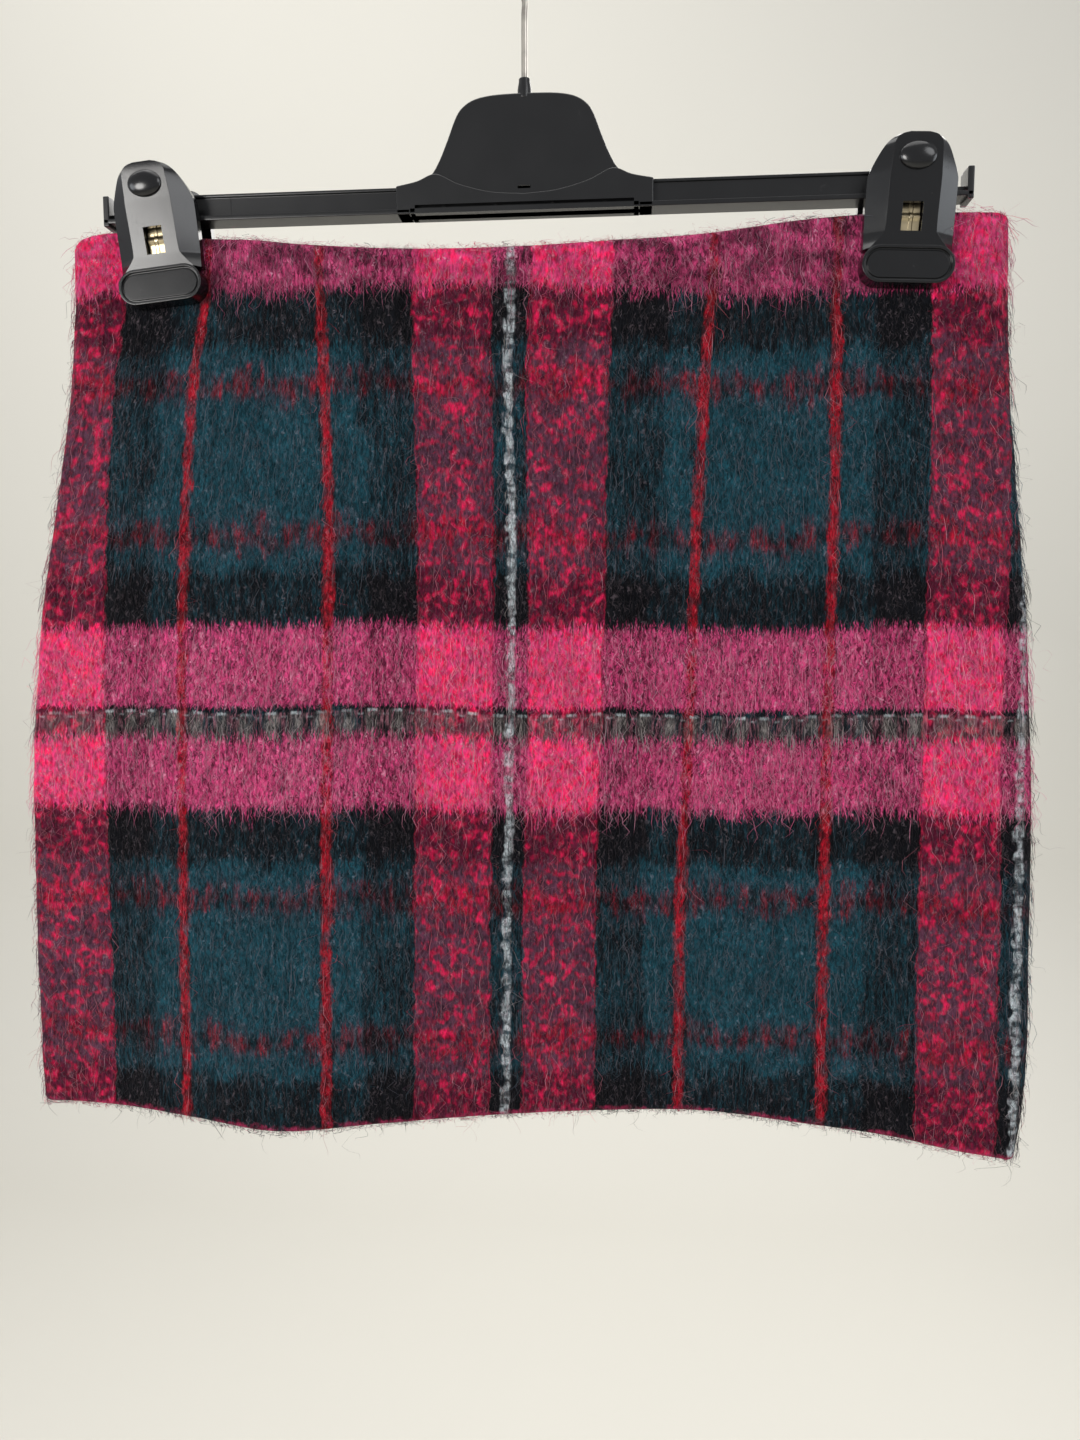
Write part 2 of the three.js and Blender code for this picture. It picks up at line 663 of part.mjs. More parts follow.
// A jaw, facing -Y: a lofted lever with a raised middle, a rounded lip and a window for the spring.
function jawLever() {
  const sectionOf = (row) => [
    [-row.half, -row.inside],
    [-row.half, -row.edge],
    [-row.panel, -row.face],
    [row.panel, -row.face],
    [row.half, -row.edge],
    [row.half, -row.inside],
  ];
  const sides = 6;
  const positions = [];
  for (const row of JAW_SECTIONS) {
    for (const [x, y] of sectionOf(row)) positions.push(x, y, row.z);
  }
  const index = [];
  const last = JAW_SECTIONS.length - 1;
  for (let r = 0; r < last; r += 1) {
    for (let c = 0; c < sides; c += 1) {
      const next = (c + 1) % sides;
      const [a, b] = [r * sides + c, r * sides + next];
      index.push(a, a + sides, b + sides, a, b + sides, b);
    }
  }
  for (let c = 1; c < sides - 1; c += 1) {
    index.push(0, c, c + 1);
    index.push(last * sides, last * sides + c + 1, last * sides + c);
  }
  const geometry = new THREE.BufferGeometry();
  geometry.setAttribute("position", new THREE.Float32BufferAttribute(positions, 3));
  geometry.setIndex(index);
  return solid(geometry);
}

// Outline of a bar with round ends, in x and z.
function stadium(half, top, bottom) {
  const radius = (top - bottom) / 2;
  const middle = (top + bottom) / 2;
  const steps = 7;
  const points = [];
  for (const side of [-1, 1]) {
    for (let i = 0; i <= steps; i += 1) {
      const a = side * (Math.PI / 2 - (i / steps) * Math.PI);
      const across = Math.cos(a) * radius;
      points.push({ x: side * (half - radius + across), z: middle + Math.sin(a) * radius });
    }
  }
  return points;
}

function jaw() {
  const lip = plateOf(stadium(LIP.half, LIP.top, LIP.bottom), -LIP.face, -CLOTH_FACE);
  const inner = stadium(LIP.half - LIP.rim, LIP.top - LIP.rim, LIP.bottom + LIP.rim);
  const recess = plateOf(inner, -LIP.face - 1, -LIP.face + LIP.recess);
  const ball = new THREE.SphereGeometry(1, 14, 8);
  ball.scale(DOME.half, DOME.rise, DOME.high);
  ball.translate(0, -DOME.seat, DOME.z);
  const hole = block(-WINDOW.half, WINDOW.half, -20, -CLOTH_FACE + 1, WINDOW.bottom, WINDOW.top);
  const room = block(-CAVITY.half, CAVITY.half, -CAVITY.depth, -CLOTH_FACE + 1, CAVITY.bottom, CAVITY.top);
  return jawLever().add(solid(ball)).add(lip).subtract(recess).subtract(hole).subtract(room);
}

// Spring strip: it crosses under the bar and runs down into the window of each jaw.
function spring() {
  const right = SPRING_PATH.map((p) => new THREE.Vector2(p.out, p.z));
  const left = SPRING_PATH.slice(1).map((p) => new THREE.Vector2(-p.out, p.z));
  const line = [...left.reverse(), ...right];
  const offset = line.map((p, i) => {
    const along = line[Math.min(i + 1, line.length - 1)].clone().sub(line[Math.max(i - 1, 0)]).normalize();
    return new THREE.Vector2(-along.y, along.x).multiplyScalar(SPRING.thick / 2);
  });
  const upper = line.map((p, i) => p.clone().add(offset[i]));
  const lower = line.map((p, i) => p.clone().sub(offset[i])).reverse();
  const strip = new THREE.ExtrudeGeometry(new THREE.Shape([...lower, ...upper]), {
    depth: 2 * SPRING.half,
    bevelEnabled: false,
  });
  strip.translate(0, 0, -SPRING.half);
  strip.rotateX(Math.PI / 2);
  strip.rotateZ(Math.PI / 2);
  return strip;
}

for (const place of CLIPS) {
  const clip = new THREE.Group();
  clip.position.set(place.x, 0, -CLIP_DROP);
  clip.rotation.y = THREE.MathUtils.degToRad(place.lean);
  const front = geometryOf(jaw());
  add(clip, `clip_${place.side}_front_jaw`, front, blackPlastic);
  const back = add(clip, `clip_${place.side}_back_jaw`, front.clone(), blackPlastic);
  back.rotation.z = Math.PI;
  add(clip, `clip_${place.side}_spring`, spring(), springSteel);
  object.add(clip);
}

export default object;
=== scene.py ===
"""A short tartan wool skirt on a clip hanger: its cloth, nap, zip, hanger and studio.

Places in the scene are metres. The charts of the cloth and of the clips are millimetres, and MM turns
them to metres. A drop is a distance below the point inside the hook where a rail bears.
"""

import json
import math

import bpy
import numpy as np
from mathutils import Matrix, Vector

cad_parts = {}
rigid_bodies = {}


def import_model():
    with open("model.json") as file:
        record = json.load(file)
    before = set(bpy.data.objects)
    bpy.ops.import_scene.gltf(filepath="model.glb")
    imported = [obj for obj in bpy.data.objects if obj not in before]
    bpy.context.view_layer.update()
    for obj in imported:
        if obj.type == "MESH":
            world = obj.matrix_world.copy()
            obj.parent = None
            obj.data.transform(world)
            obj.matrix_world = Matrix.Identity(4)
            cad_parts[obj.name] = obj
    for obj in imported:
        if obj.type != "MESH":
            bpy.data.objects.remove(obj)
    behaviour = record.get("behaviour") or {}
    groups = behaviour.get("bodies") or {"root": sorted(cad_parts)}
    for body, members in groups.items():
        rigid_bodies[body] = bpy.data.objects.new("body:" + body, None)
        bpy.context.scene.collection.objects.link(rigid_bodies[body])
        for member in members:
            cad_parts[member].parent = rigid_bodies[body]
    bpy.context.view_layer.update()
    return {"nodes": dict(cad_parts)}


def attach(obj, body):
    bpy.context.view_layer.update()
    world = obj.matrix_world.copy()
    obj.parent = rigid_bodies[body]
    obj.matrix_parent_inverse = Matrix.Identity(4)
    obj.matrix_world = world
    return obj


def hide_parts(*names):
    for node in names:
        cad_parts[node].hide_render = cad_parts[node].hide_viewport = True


bl_info = {
    "name": "Tartan skirt on a clip hanger",
    "version": (1, 0, 0),
    "blender": (4, 5, 0),
    "location": "View3D > Sidebar > Skirt",
    "description": "Makes the cloth, nap, zip, hanger, clips and studio of a hung tartan skirt",
    "category": "Object",
}

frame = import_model()
MM = 0.001


def table(columns, *rows):
    """Rows of a short table, each a dictionary by the names of the columns."""
    return [dict(zip(columns.split(), row)) for row in rows]


# Cloth
SIDE_ROUND = 5.4
SEAM_GAP = 0.3
CENTRE_BACK = -6.0
WAIST_TURNING = 25.0
HEM_TURNING = 30.0
TURNING_STEP = 4.0
FULLNESS = 3.0
WAIST_BACK_FULLNESS = 7.4
GAPE = {"from": 150, "to": 330, "half": 62}
FLAT_AT_SIDES = 34
SWING_START = 177.0
SWING_FULL = 535.0
SWING_POWER = 1.3

SIDE_FOLDS = table(
    "drop left right",
    (142, -198, 197.5),
    (178, -199, 199),
    (223, -204, 201.5),
    (268, -212.7, 206),
    (318, -221, 210.5),
    (368, -226, 213.6),
    (438, -227.8, 214.3),
    (498, -228, 214),
    (546, -226, 209),
)
WAIST_EDGE = table(
    "x drop",
    (-199, 148.5),
    (-195, 144.6),
    (-188, 142.4),
    (-178, 141.4),
    (-158, 143.2),
    (-120, 146.5),
    (-95, 149.4),
    (-52, 152.4),
    (-8, 153),
    (34, 151.8),
    (74, 150.2),
    (114, 145.9),
    (140, 143.5),
    (190, 144.4),
    (199, 145.6),
)
FRONT_HEM = table(
    "x drop out",
    (-227, 533, 4),
    (-190, 531, 6),
    (-150, 532.5, 12),
    (-109, 535.6, 16),
    (-65, 532.8, 11),
    (-20, 530, 5),
    (30, 527, 1.5),
    (78, 525.6, 0),
    (120, 528, 3),
    (160, 529.8, 9),
    (190, 534, 14),
    (213, 537, 16),
)
BACK_HEM = table(
    "x drop out",
    (-227, 533, -4),
    (-180, 530, 1),
    (-120, 529, 5),
    (-60, 530, 2),
    (0, 529, 4),
    (60, 528, 9),
    (110, 529, 6),
    (160, 531, -3),
    (190, 534.5, -10),
    (213, 537, -16),
)

# Soft creases: where each starts and ends, its width and how far it stands out or lies in
FRONT_CREASES = table(
    "x0 drop0 x1 drop1 width out",
    (-141, 182, -118, 300, 13, 0.9),
    (-128, 176, -96, 262, 9, -0.8),
    (-172, 182, -186, 268, 10, 0.7),
    (-112, 200, -106, 250, 7, -0.7),
    (139, 176, 120, 290, 12, 0.8),
    (103, 180, 104, 246, 7, -0.7),
    (172, 180, 184, 282, 11, -0.8),
    (-62, 410, -70, 534, 15, -1.1),
    (32, 370, 26, 528, 17, 0.9),
    (118, 452, 126, 528, 12, -0.9),
    (-190, 420, -196, 532, 14, -0.8),
)
BACK_CREASES = table(
    "x0 drop0 x1 drop1 width out",
    (-138, 178, -112, 312, 13, 0.9),
    (-104, 196, -98, 262, 8, -0.8),
    (138, 178, 118, 300, 12, 0.8),
    (96, 190, 92, 256, 8, -0.8),
    (-44, 330, -30, 420, 14, -0.9),
    (42, 350, 24, 440, 13, 0.8),
    (168, 430, 176, 530, 13, -0.9),
    (-150, 440, -158, 530, 14, 0.8),
)

# Where five warp lines of the front lie at each height, with darts at the waist taking cloth in
WARP_LINES = table(
    "drop red_far_left red_left white red_right red_far_right",
    (158, -136, -87, -4.8, 79.5, 128.8),
    (206, -142.5, -85.6, -6.3, 76.5, 129.2),
    (270, -148.6, -83.8, -5, 73.5, 129.6),
    (350, -151.2, -85.6, -5.4, 71.6, 128.8),
    (430, -152, -86.3, -6.9, 68.5, 129.2),
    (525, -151.6, -86.8, -7.7, 68.7, 129.8),
)
WHITE_WEFT_DROP = 349.0
BACK_SEAM_SETT = 12.0
LOWEST_WEFT = -178.0
MIDDLE_OF_ROSE = -24.0

# Half of the tartan's repeat, outwards from its white line: where each stripe ends, and its yarns
SETT = table(
    "end warp weft",
    (7.8, "black", "black"),
    (40.5, "pink", "rose"),
    (64.0, "black", "black"),
    (77.2, "teal", "teal"),
    (82.2, "black", "black"),
    (111.5, "teal", "teal"),
)
HALF_SETT = 111.5
RED_LINE = 79.7
WARP_SHOWS = {"black": 0.4, "pink": 0.6, "teal": 0.2}
YARNS = ("black", "pink", "rose", "teal")

# Floats of the white weft, each with a tuft of fuzz below it, and spots of the red one
FLOAT_PITCH = 10.9
TUFT_LENGTH = 13.0
SPOT_PITCH = 11.4


def dye(red, green, blue):
    """Linear colour of a paint given as 0 to 255 values."""
    shades = np.array([red, green, blue]) / 255
    return tuple(np.where(shades <= 0.04045, shades / 12.92, ((shades + 0.055) / 1.055) ** 2.4))


def curve_of(chart, start, end):
    """A smooth curve through two columns of a chart, level past its ends."""
    at = np.array([row[start] for row in chart], float)
    value = np.array([row[end] for row in chart], float)
    ahead = np.append(np.arange(1, len(at)), len(at) - 1)
    behind = np.append(0, np.arange(len(at) - 1))
    slope = (value[ahead] - value[behind]) / (at[ahead] - at[behind])

    def curve(t):
        t = np.clip(t, at[0], at[-1])
        i = np.clip(np.searchsorted(at, t, side="right") - 1, 0, len(at) - 2)
        span = at[i + 1] - at[i]
        s = (t - at[i]) / span
        rise = value[i + 1] - value[i]
        start_bend = s * (1 - s) ** 2 * (slope[i] * span - rise)
        end_bend = s**2 * (1 - s) * (rise - slope[i + 1] * span)
        return value[i] + rise * s + start_bend + end_bend

    return curve


left_fold = curve_of(SIDE_FOLDS, "drop", "left")
right_fold = curve_of(SIDE_FOLDS, "drop", "right")
waist_drop = curve_of(WAIST_EDGE, "x", "drop")
front_hem = curve_of(FRONT_HEM, "x", "drop")
back_hem = curve_of(BACK_HEM, "x", "drop")
front_out = curve_of(FRONT_HEM, "x", "out")
back_out = curve_of(BACK_HEM, "x", "out")

# Clips, each in a frame of its own where z is the height above the middle of the bar
CLIPS = table(
    "side x lean",
    ("left", -157.7, -5.7),
    ("right", 157, 2.6),
)
CLIP_DROP = 132.0
PINCH_HALF = 21.0
PINCH_LOWEST = 176.0
PINCH_FADE = 15.0


def smooth(low, high, value):
    """0 below low, 1 above high, eased between."""
    t = np.clip((value - low) / (high - low), 0, 1)
    return t * t * (3 - 2 * t)


def lattice(x, y, seed):
    """A repeatable value from -1 to 1 for each whole pair of numbers."""
    h = np.sin(x * 127.1 + y * 311.7 + seed * 74.7) * 43758.5453
    return 2 * (h - np.floor(h)) - 1


def lumps(x, y, size, seed):
    """Soft unevenness of a given size, from -1 to 1."""
    x, y = x / size, y / size
    x0, y0 = np.floor(x), np.floor(y)
    fx, fy = smooth(0, 1, x - x0), smooth(0, 1, y - y0)
    near = lattice(x0, y0, seed) * (1 - fx) + lattice(x0 + 1, y0, seed) * fx
    far = lattice(x0, y0 + 1, seed) * (1 - fx) + lattice(x0 + 1, y0 + 1, seed) * fx
    return near * (1 - fy) + far * fy


def swing(drop):
    """How much of the hem's swing shows at a height, from 0 to 1."""
    return np.clip((drop - SWING_START) / (SWING_FULL - SWING_START), 0, 1) ** SWING_POWER


def pinch(x, drop):
    """1 where a clip presses the layers together, fading to 0 around it."""
    most = np.zeros(np.broadcast(x, drop).shape)
    for clip in CLIPS:
        middle = clip["x"] - math.sin(math.radians(clip["lean"])) * (drop - CLIP_DROP)
        aside = np.maximum(np.abs(x - middle) - PINCH_HALF, 0)
        below = np.maximum(drop - PINCH_LOWEST, 0)
        most = np.maximum(most, np.exp(-((np.hypot(aside, below) / PINCH_FADE) ** 2)))
    return most


def away_from_sides(x, drop):
    """0 at the side folds, 1 well inside them."""
    inset = np.minimum(x - left_fold(drop), right_fold(drop) - x) - SIDE_ROUND
    return smooth(0, FLAT_AT_SIDES, inset)


def flat_depth(layer, x, drop):
    """Depth of the outer face on the flat of the front or back."""
    free = away_from_sides(x, drop) * (1 - pinch(x, drop))
    if layer == "front":
        return -SIDE_ROUND - FULLNESS * free - front_out(x) * swing(drop)
    waist = 1 - smooth(GAPE["from"], GAPE["to"], drop)
    near = np.exp(-(((x - CENTRE_BACK) / GAPE["half"]) ** 2))
    gape = (WAIST_BACK_FULLNESS - FULLNESS) * waist * near
    return SIDE_ROUND + (FULLNESS + gape) * free + back_out(x) * swing(drop)


def crease_relief(creases, x, drop):
    """How far the soft creases stand out at a place."""
    total = np.zeros(np.broadcast(x, drop).shape)
    for crease in creases:
        reach = np.array([crease["x1"] - crease["x0"], crease["drop1"] - crease["drop0"]], float)
        length = np.hypot(*reach)
        along = ((x - crease["x0"]) * reach[0] + (drop - crease["drop0"]) * reach[1]) / length
        aside = ((x - crease["x0"]) * reach[1] - (drop - crease["drop0"]) * reach[0]) / length
        wander = 3 * np.sin(along / 23 + crease["x0"])
        ends = smooth(-0.1, 0.35, along / length) * (1 - smooth(0.6, 1.12, along / length))
        total += crease["out"] * ends * np.exp(-(((aside + wander) / crease["width"]) ** 2))
    return total


def cloth_relief(layer, x, drop, edge):
    """Creases and the soft unevenness of thick cloth, none of it where a clip presses."""
    creases = FRONT_CREASES if layer == "front" else BACK_CREASES
    seed = 3 if layer == "front" else 8
    uneven = 0.45 * lumps(x, drop, 38, seed) + 0.22 * lumps(x, drop, 15, seed + 1)
    uneven += 0.16 * lumps(x, drop, 6.5, seed + 2)
    hem = 0.35 * np.exp(-(((edge["hem"] - HEM_TURNING) / 3) ** 2))
    waist = 0.3 * np.exp(-(((edge["waist"] - WAIST_TURNING) / 3) ** 2))
    free = 1 - smooth(0.05, 0.5, pinch(x, drop))
    return (crease_relief(creases, x, drop) + uneven - hem - waist) * free


# Sett coordinates: millimetres across from the white warp line, and up from the white weft line
LINE_SETTS = {
    "red_far_left": -143.3,
    "red_left": -79.7,
    "white": 0.0,
    "red_right": 79.7,
    "red_far_right": 143.3,
}
line_places = [(curve_of(WARP_LINES, "drop", name), at) for name, at in LINE_SETTS.items()]

# Past the outer lines: millimetres of sett for one of cloth, up to the pink stripe's edge and beyond it
TO_PINK_EDGE = 36.0
LEFT_RATE = {"inner": 1.08, "outer": 0.76}
RIGHT_RATE = 1.01


def sett_across(layer, x, drop):
    """Place across the sett: between the warp lines in front, from the centre seam at the back."""
    if layer == "back":
        return np.sign(x - CENTRE_BACK) * (np.abs(x - CENTRE_BACK) + BACK_SEAM_SETT)
    first, last = line_places[0], line_places[-1]
    past = np.maximum(first[0](drop) - x, 0)
    inner, outer = np.minimum(past, TO_PINK_EDGE), np.maximum(past - TO_PINK_EDGE, 0)
    across = first[1] - inner * LEFT_RATE["inner"] - outer * LEFT_RATE["outer"]
    across = np.where(x >= last[0](drop), last[1] + (x - last[0](drop)) * RIGHT_RATE, across)
    for (start, low), (end, high) in zip(line_places, line_places[1:]):
        a, b = start(drop), end(drop)
        between = low + (high - low) * (x - a) / (b - a)
        across = np.where((x >= a) & (x < b), between, across)
    return across


def sett_up(layer, x, drop):
    """Place up the sett, with the wefts sagging a little between their ends."""
    closer = 1 + 0.035 * smooth(-40, 120, x) if layer == "front" else 1.01
    sag = 0.9 * np.sin(x / 41) + 0.7 * np.sin(x / 17.3 + 2)
    return (WHITE_WEFT_DROP - drop) * closer + sag * np.exp(-(((drop - WHITE_WEFT_DROP) / 160) ** 2))


def mesh_object(name, points, faces, smooth_faces=True):
    """A new object at the origin from an array of points in metres and an array of faces."""
    mesh = bpy.data.meshes.new(name)
    faces = np.asarray(faces, np.int32)
    sides = faces.shape[1]
    mesh.vertices.add(len(points))
    mesh.vertices.foreach_set("co", np.asarray(points, np.float32).ravel())
    mesh.loops.add(faces.size)
    mesh.loops.foreach_set("vertex_index", faces.ravel())
    mesh.polygons.add(len(faces))
    mesh.polygons.foreach_set("loop_start", np.arange(0, faces.size, sides, dtype=np.int32))
    mesh.polygons.foreach_set("use_smooth", np.full(len(faces), smooth_faces))
    mesh.update(calc_edges=True)
    piece = bpy.data.objects.new(name, mesh)
    bpy.context.scene.collection.objects.link(piece)
    return piece


def point_attribute(piece, name, kind, values):
    """Stores one value a vertex on a piece, for its material to read."""
    attribute = piece.data.attributes.new(name, kind, "POINT")
    field = {"FLOAT_VECTOR": "vector", "FLOAT_COLOR": "color"}[kind]
    attribute.data.foreach_set(field, np.asarray(values, np.float32).ravel())


def settings():
    return bpy.context.scene.skirt_settings


def dyes():
    return bpy.context.scene.skirt_dyes


# The cloth's panels
ROUND_COLUMNS = 5
EDGE_ROWS = [0, 0.25, 0.7, 1.4, 2.3]
LEAST_EDGE = 0.3
GRID = {"front": 430, "back": 215, "high": 372}
SETTLING_ROUNDS = 6
FIRST_DROP = 300.0


def panel_columns(layer, side, spacing):
    """Kind of each column across a panel (-1 and 1 round a side fold, 0 flat) and its angle or share."""
    turns = np.arange(ROUND_COLUMNS) / ROUND_COLUMNS * math.pi / 2
    shares = np.linspace(0, 1, int(GRID[layer] / spacing) + 1)
    kinds, places = [np.zeros(len(shares))], [shares]
    if layer == "front" or side < 0:
        kinds.insert(0, np.full(ROUND_COLUMNS, -1.0))
        places.insert(0, turns)
    if layer == "front" or side > 0:
        kinds.append(np.full(ROUND_COLUMNS, 1.0))
        places.append(turns[::-1])
    return np.concatenate(kinds), np.concatenate(places)


def outer_face(layer, side, kinds, places, drop):
    """Outer face of a panel: x, depth, the outward direction and x unrolled past the side folds."""
    sign = -1 if layer == "front" else 1
    left, right = left_fold(drop) + SIDE_ROUND, right_fold(drop) - SIDE_ROUND
    if layer == "back" and side < 0:
        right = np.full_like(drop, CENTRE_BACK - SEAM_GAP / 2)
    if layer == "back" and side > 0:
        left = np.full_like(drop, CENTRE_BACK + SEAM_GAP / 2)
    flat_x = left + (right - left) * places
    step = 0.5
    rise = flat_depth(layer, flat_x + step, drop) - flat_depth(layer, flat_x - step, drop)
    slope = np.where((places <= 0) | (places >= 1), 0, rise / (2 * step))
    length = np.hypot(1, slope)
    flat_y = flat_depth(layer, flat_x, drop) + sign * SEAM_GAP / 2
    fold = np.where(kinds < 0, left_fold(drop), right_fold(drop))
    across, out = np.cos(places) * kinds, np.sin(places) * sign
    fold_y = -front_out(fold) * swing(drop) + sign * SEAM_GAP / 2
    round_x = fold - kinds * SIDE_ROUND + across * SIDE_ROUND
    rolled = fold - kinds * SIDE_ROUND * (1 - (math.pi / 2 - places))
    is_round = kinds != 0
    x = np.where(is_round, round_x, flat_x)
    y = np.where(is_round, fold_y + out * SIDE_ROUND, flat_y)
    nx = np.where(is_round, across, -sign * slope / length)
    ny = np.where(is_round, out, sign / length)
    return x, y, nx, ny, np.where(is_round, rolled, flat_x)


def turned_in(turning, from_edge):
    """1 where the cloth has its turning behind it, 0 past the turning's end."""
    return 1 - smooth(turning, turning + TURNING_STEP, from_edge)


def wall_at(turned):
    """Thickness of the cloth in millimetres, with as much of its turning as is asked for."""
    plain = settings().cloth_wall
    return plain / MM + (settings().turned_wall - plain) / MM * turned


def panel_grid(layer, side, spacing):
    """Points of a panel's outer and inner faces, with its sett coordinates, as grids with rows down."""
    hem = front_hem if layer == "front" else back_hem
    kinds, places = panel_columns(layer, side, spacing)
    share = np.linspace(0, 1, int(GRID["high"] / spacing) + 1)[1:-1]
    rows = len(EDGE_ROWS) * 2 + len(share)
    drop = np.full((rows, len(kinds)), FIRST_DROP)
    kinds, places = np.tile(kinds, (rows, 1)), np.tile(places, (rows, 1))
    for _ in range(SETTLING_ROUNDS):
        x = outer_face(layer, side, kinds, places, drop)[0]
        for r in range(rows):
            top, bottom = waist_drop(x[r]), hem(x[r])
            if r < len(EDGE_ROWS):
                drop[r] = top + EDGE_ROWS[r]
            elif r >= rows - len(EDGE_ROWS):
                drop[r] = bottom - EDGE_ROWS[rows - 1 - r]
            else:
                first, last = top + EDGE_ROWS[-1], bottom - EDGE_ROWS[-1]
                drop[r] = first + (last - first) * share[r - len(EDGE_ROWS)]
    x, y, nx, ny, rolled = outer_face(layer, side, kinds, places, drop)
    edge = {"waist": drop - waist_drop(x), "hem": hem(x) - drop}
    nearest = np.minimum(edge["waist"], edge["hem"])
    at_waist, at_hem = turned_in(WAIST_TURNING, edge["waist"]), turned_in(HEM_TURNING, edge["hem"])
    wall = wall_at(np.maximum(at_waist, at_hem))
    radius = wall / 2
    rise = radius - np.minimum(np.clip(nearest, 0, None), radius)
    inset = np.minimum(radius - np.sqrt(radius**2 - rise**2), radius - LEAST_EDGE)
    relief = cloth_relief(layer, rolled, drop, edge) * smooth(0, 6, nearest)
    near, far = inset - relief, wall - inset - relief
    outer = np.stack([x - nx * near, y - ny * near, -drop], axis=-1)
    inner = np.stack([x - nx * far, y - ny * far, -drop], axis=-1)
    across, up = sett_across(layer, rolled, drop), sett_up(layer, rolled, drop)
    sett = np.stack([across, up, edge["hem"]], axis=-1)
    return {"outer": outer * MM, "inner": inner * MM, "sett": sett}


def shell_faces(rows, columns, outward):
    """Quads of a closed shell between an outer grid and an inner one of the same size."""
    index = np.arange(rows * columns).reshape(rows, columns)
    inside = index + rows * columns
    faces = [
        np.stack([index[:-1, :-1], index[1:, :-1], index[1:, 1:], index[:-1, 1:]], -1),
        np.stack([inside[:-1, :-1], inside[:-1, 1:], inside[1:, 1:], inside[1:, :-1]], -1),
        np.stack([index[1:, 0], index[:-1, 0], inside[:-1, 0], inside[1:, 0]], -1),
        np.stack([index[:-1, -1], index[1:, -1], inside[1:, -1], inside[:-1, -1]], -1),
        np.stack([index[0, :-1], index[0, 1:], inside[0, 1:], inside[0, :-1]], -1),
        np.stack([index[-1, 1:], index[-1, :-1], inside[-1, :-1], inside[-1, 1:]], -1),
    ]
    faces = np.concatenate([strip.reshape(-1, 4) for strip in faces])
    return faces if outward else faces[:, ::-1]


PANELS = table(
    "name layer side spacing node",
    ("front_cloth", "front", 0, 2.6, "front_panel"),
    ("back_cloth_left", "back", -1, 3.4, "back_panel_left"),
    ("back_cloth_right", "back", 1, 3.4, "back_panel_right"),
)
grids = {}


def grid_of(row):
    """The grid of a panel, made once."""
    if row["name"] not in grids:
        grids[row["name"]] = panel_grid(row["layer"], row["side"], row["spacing"])
    return grids[row["name"]]


def make_panel(row):
    """One panel of the skirt as a closed shell of brushed cloth."""
    grid = grid_of(row)
    rows, columns = grid["sett"].shape[:2]
    points = np.concatenate([grid["outer"].reshape(-1, 3), grid["inner"].reshape(-1, 3)])
    piece = mesh_object(row["name"], points, shell_faces(rows, columns, row["layer"] == "front"))
    sett = grid["sett"].reshape(-1, 3)
    point_attribute(piece, "sett", "FLOAT_VECTOR", np.concatenate([sett, sett]))
    return piece


# Nap: loose mohair fibres brushed downwards, rooted a little inside the cloth
ROOT_DEPTH = 0.25


class Fibres:
    """Collects fibres as thin closed spindles and joins them into one mesh."""

    def __init__(self):
        self.points, self.faces, self.dyes, self.count = [], [], [], 0

    def add(self, root, down, out, shape, colours):
        """Adds fibres. shape has arrays length, lift, sway and radius in millimetres, and rings."""
        total, rings = len(root), shape["rings"]
        side = np.cross(down, out)
        ends = np.linspace(0, 1, rings + 2)
        along = ends[:, None]
        bend = np.sin(along * math.pi * shape["curl"] + shape["phase"]) - np.sin(shape["phase"])
        rise = np.sin(np.clip(along * 1.15, 0, 1) * math.pi * 0.62)
        centre = (
            root[None]
            + down[None] * (along * shape["length"])[..., None] * MM
            + side[None] * ((bend + shape["slant"] * along) * shape["sway"])[..., None] * MM
            + out[None] * (rise * shape["lift"] - ROOT_DEPTH * (1 - along))[..., None] * MM
        )
        angles = (np.array([0.5, 7 / 6, 11 / 6]) * math.pi)[None, :, None]
        around = side[:, None] * np.cos(angles) + out[:, None] * np.sin(angles)
        body = np.sqrt(np.sin(ends[1:-1] * math.pi))
        radius = (body[:, None] * shape["radius"])[..., None, None] * MM
        ring = centre[1:-1, :, None] + around[None] * radius
        each = 2 + 3 * rings
        points = np.empty((total, each, 3))
        points[:, 0], points[:, -1] = centre[0], centre[-1]
        points[:, 1:-1] = ring.transpose(1, 0, 2, 3).reshape(total, 3 * rings, 3)
        faces = [[0, 1 + (j + 1) % 3, 1 + j] for j in range(3)]
        for r in range(rings - 1):
            a, b = 1 + 3 * r, 4 + 3 * r
            for j in range(3):
                k = (j + 1) % 3
                faces += [[a + j, a + k, b + k], [a + j, b + k, b + j]]
        last = 1 + 3 * (rings - 1)
        faces += [[each - 1, last + j, last + (j + 1) % 3] for j in range(3)]
        index = (np.arange(total) * each + self.count)[:, None, None] + np.array(faces)[None, :, ::-1]
        self.points.append(points.reshape(-1, 3))
        self.faces.append(index.reshape(-1, 3))
        self.dyes.append(np.repeat(colours, each, axis=0))
        self.count += total * each

    def piece(self, name):
        fuzz = mesh_object(name, np.concatenate(self.points), np.concatenate(self.faces))
        shades = np.concatenate(self.dyes)
        point_attribute(fuzz, "dye", "FLOAT_COLOR", np.column_stack([shades, np.ones(len(shades))]))
        return fuzz


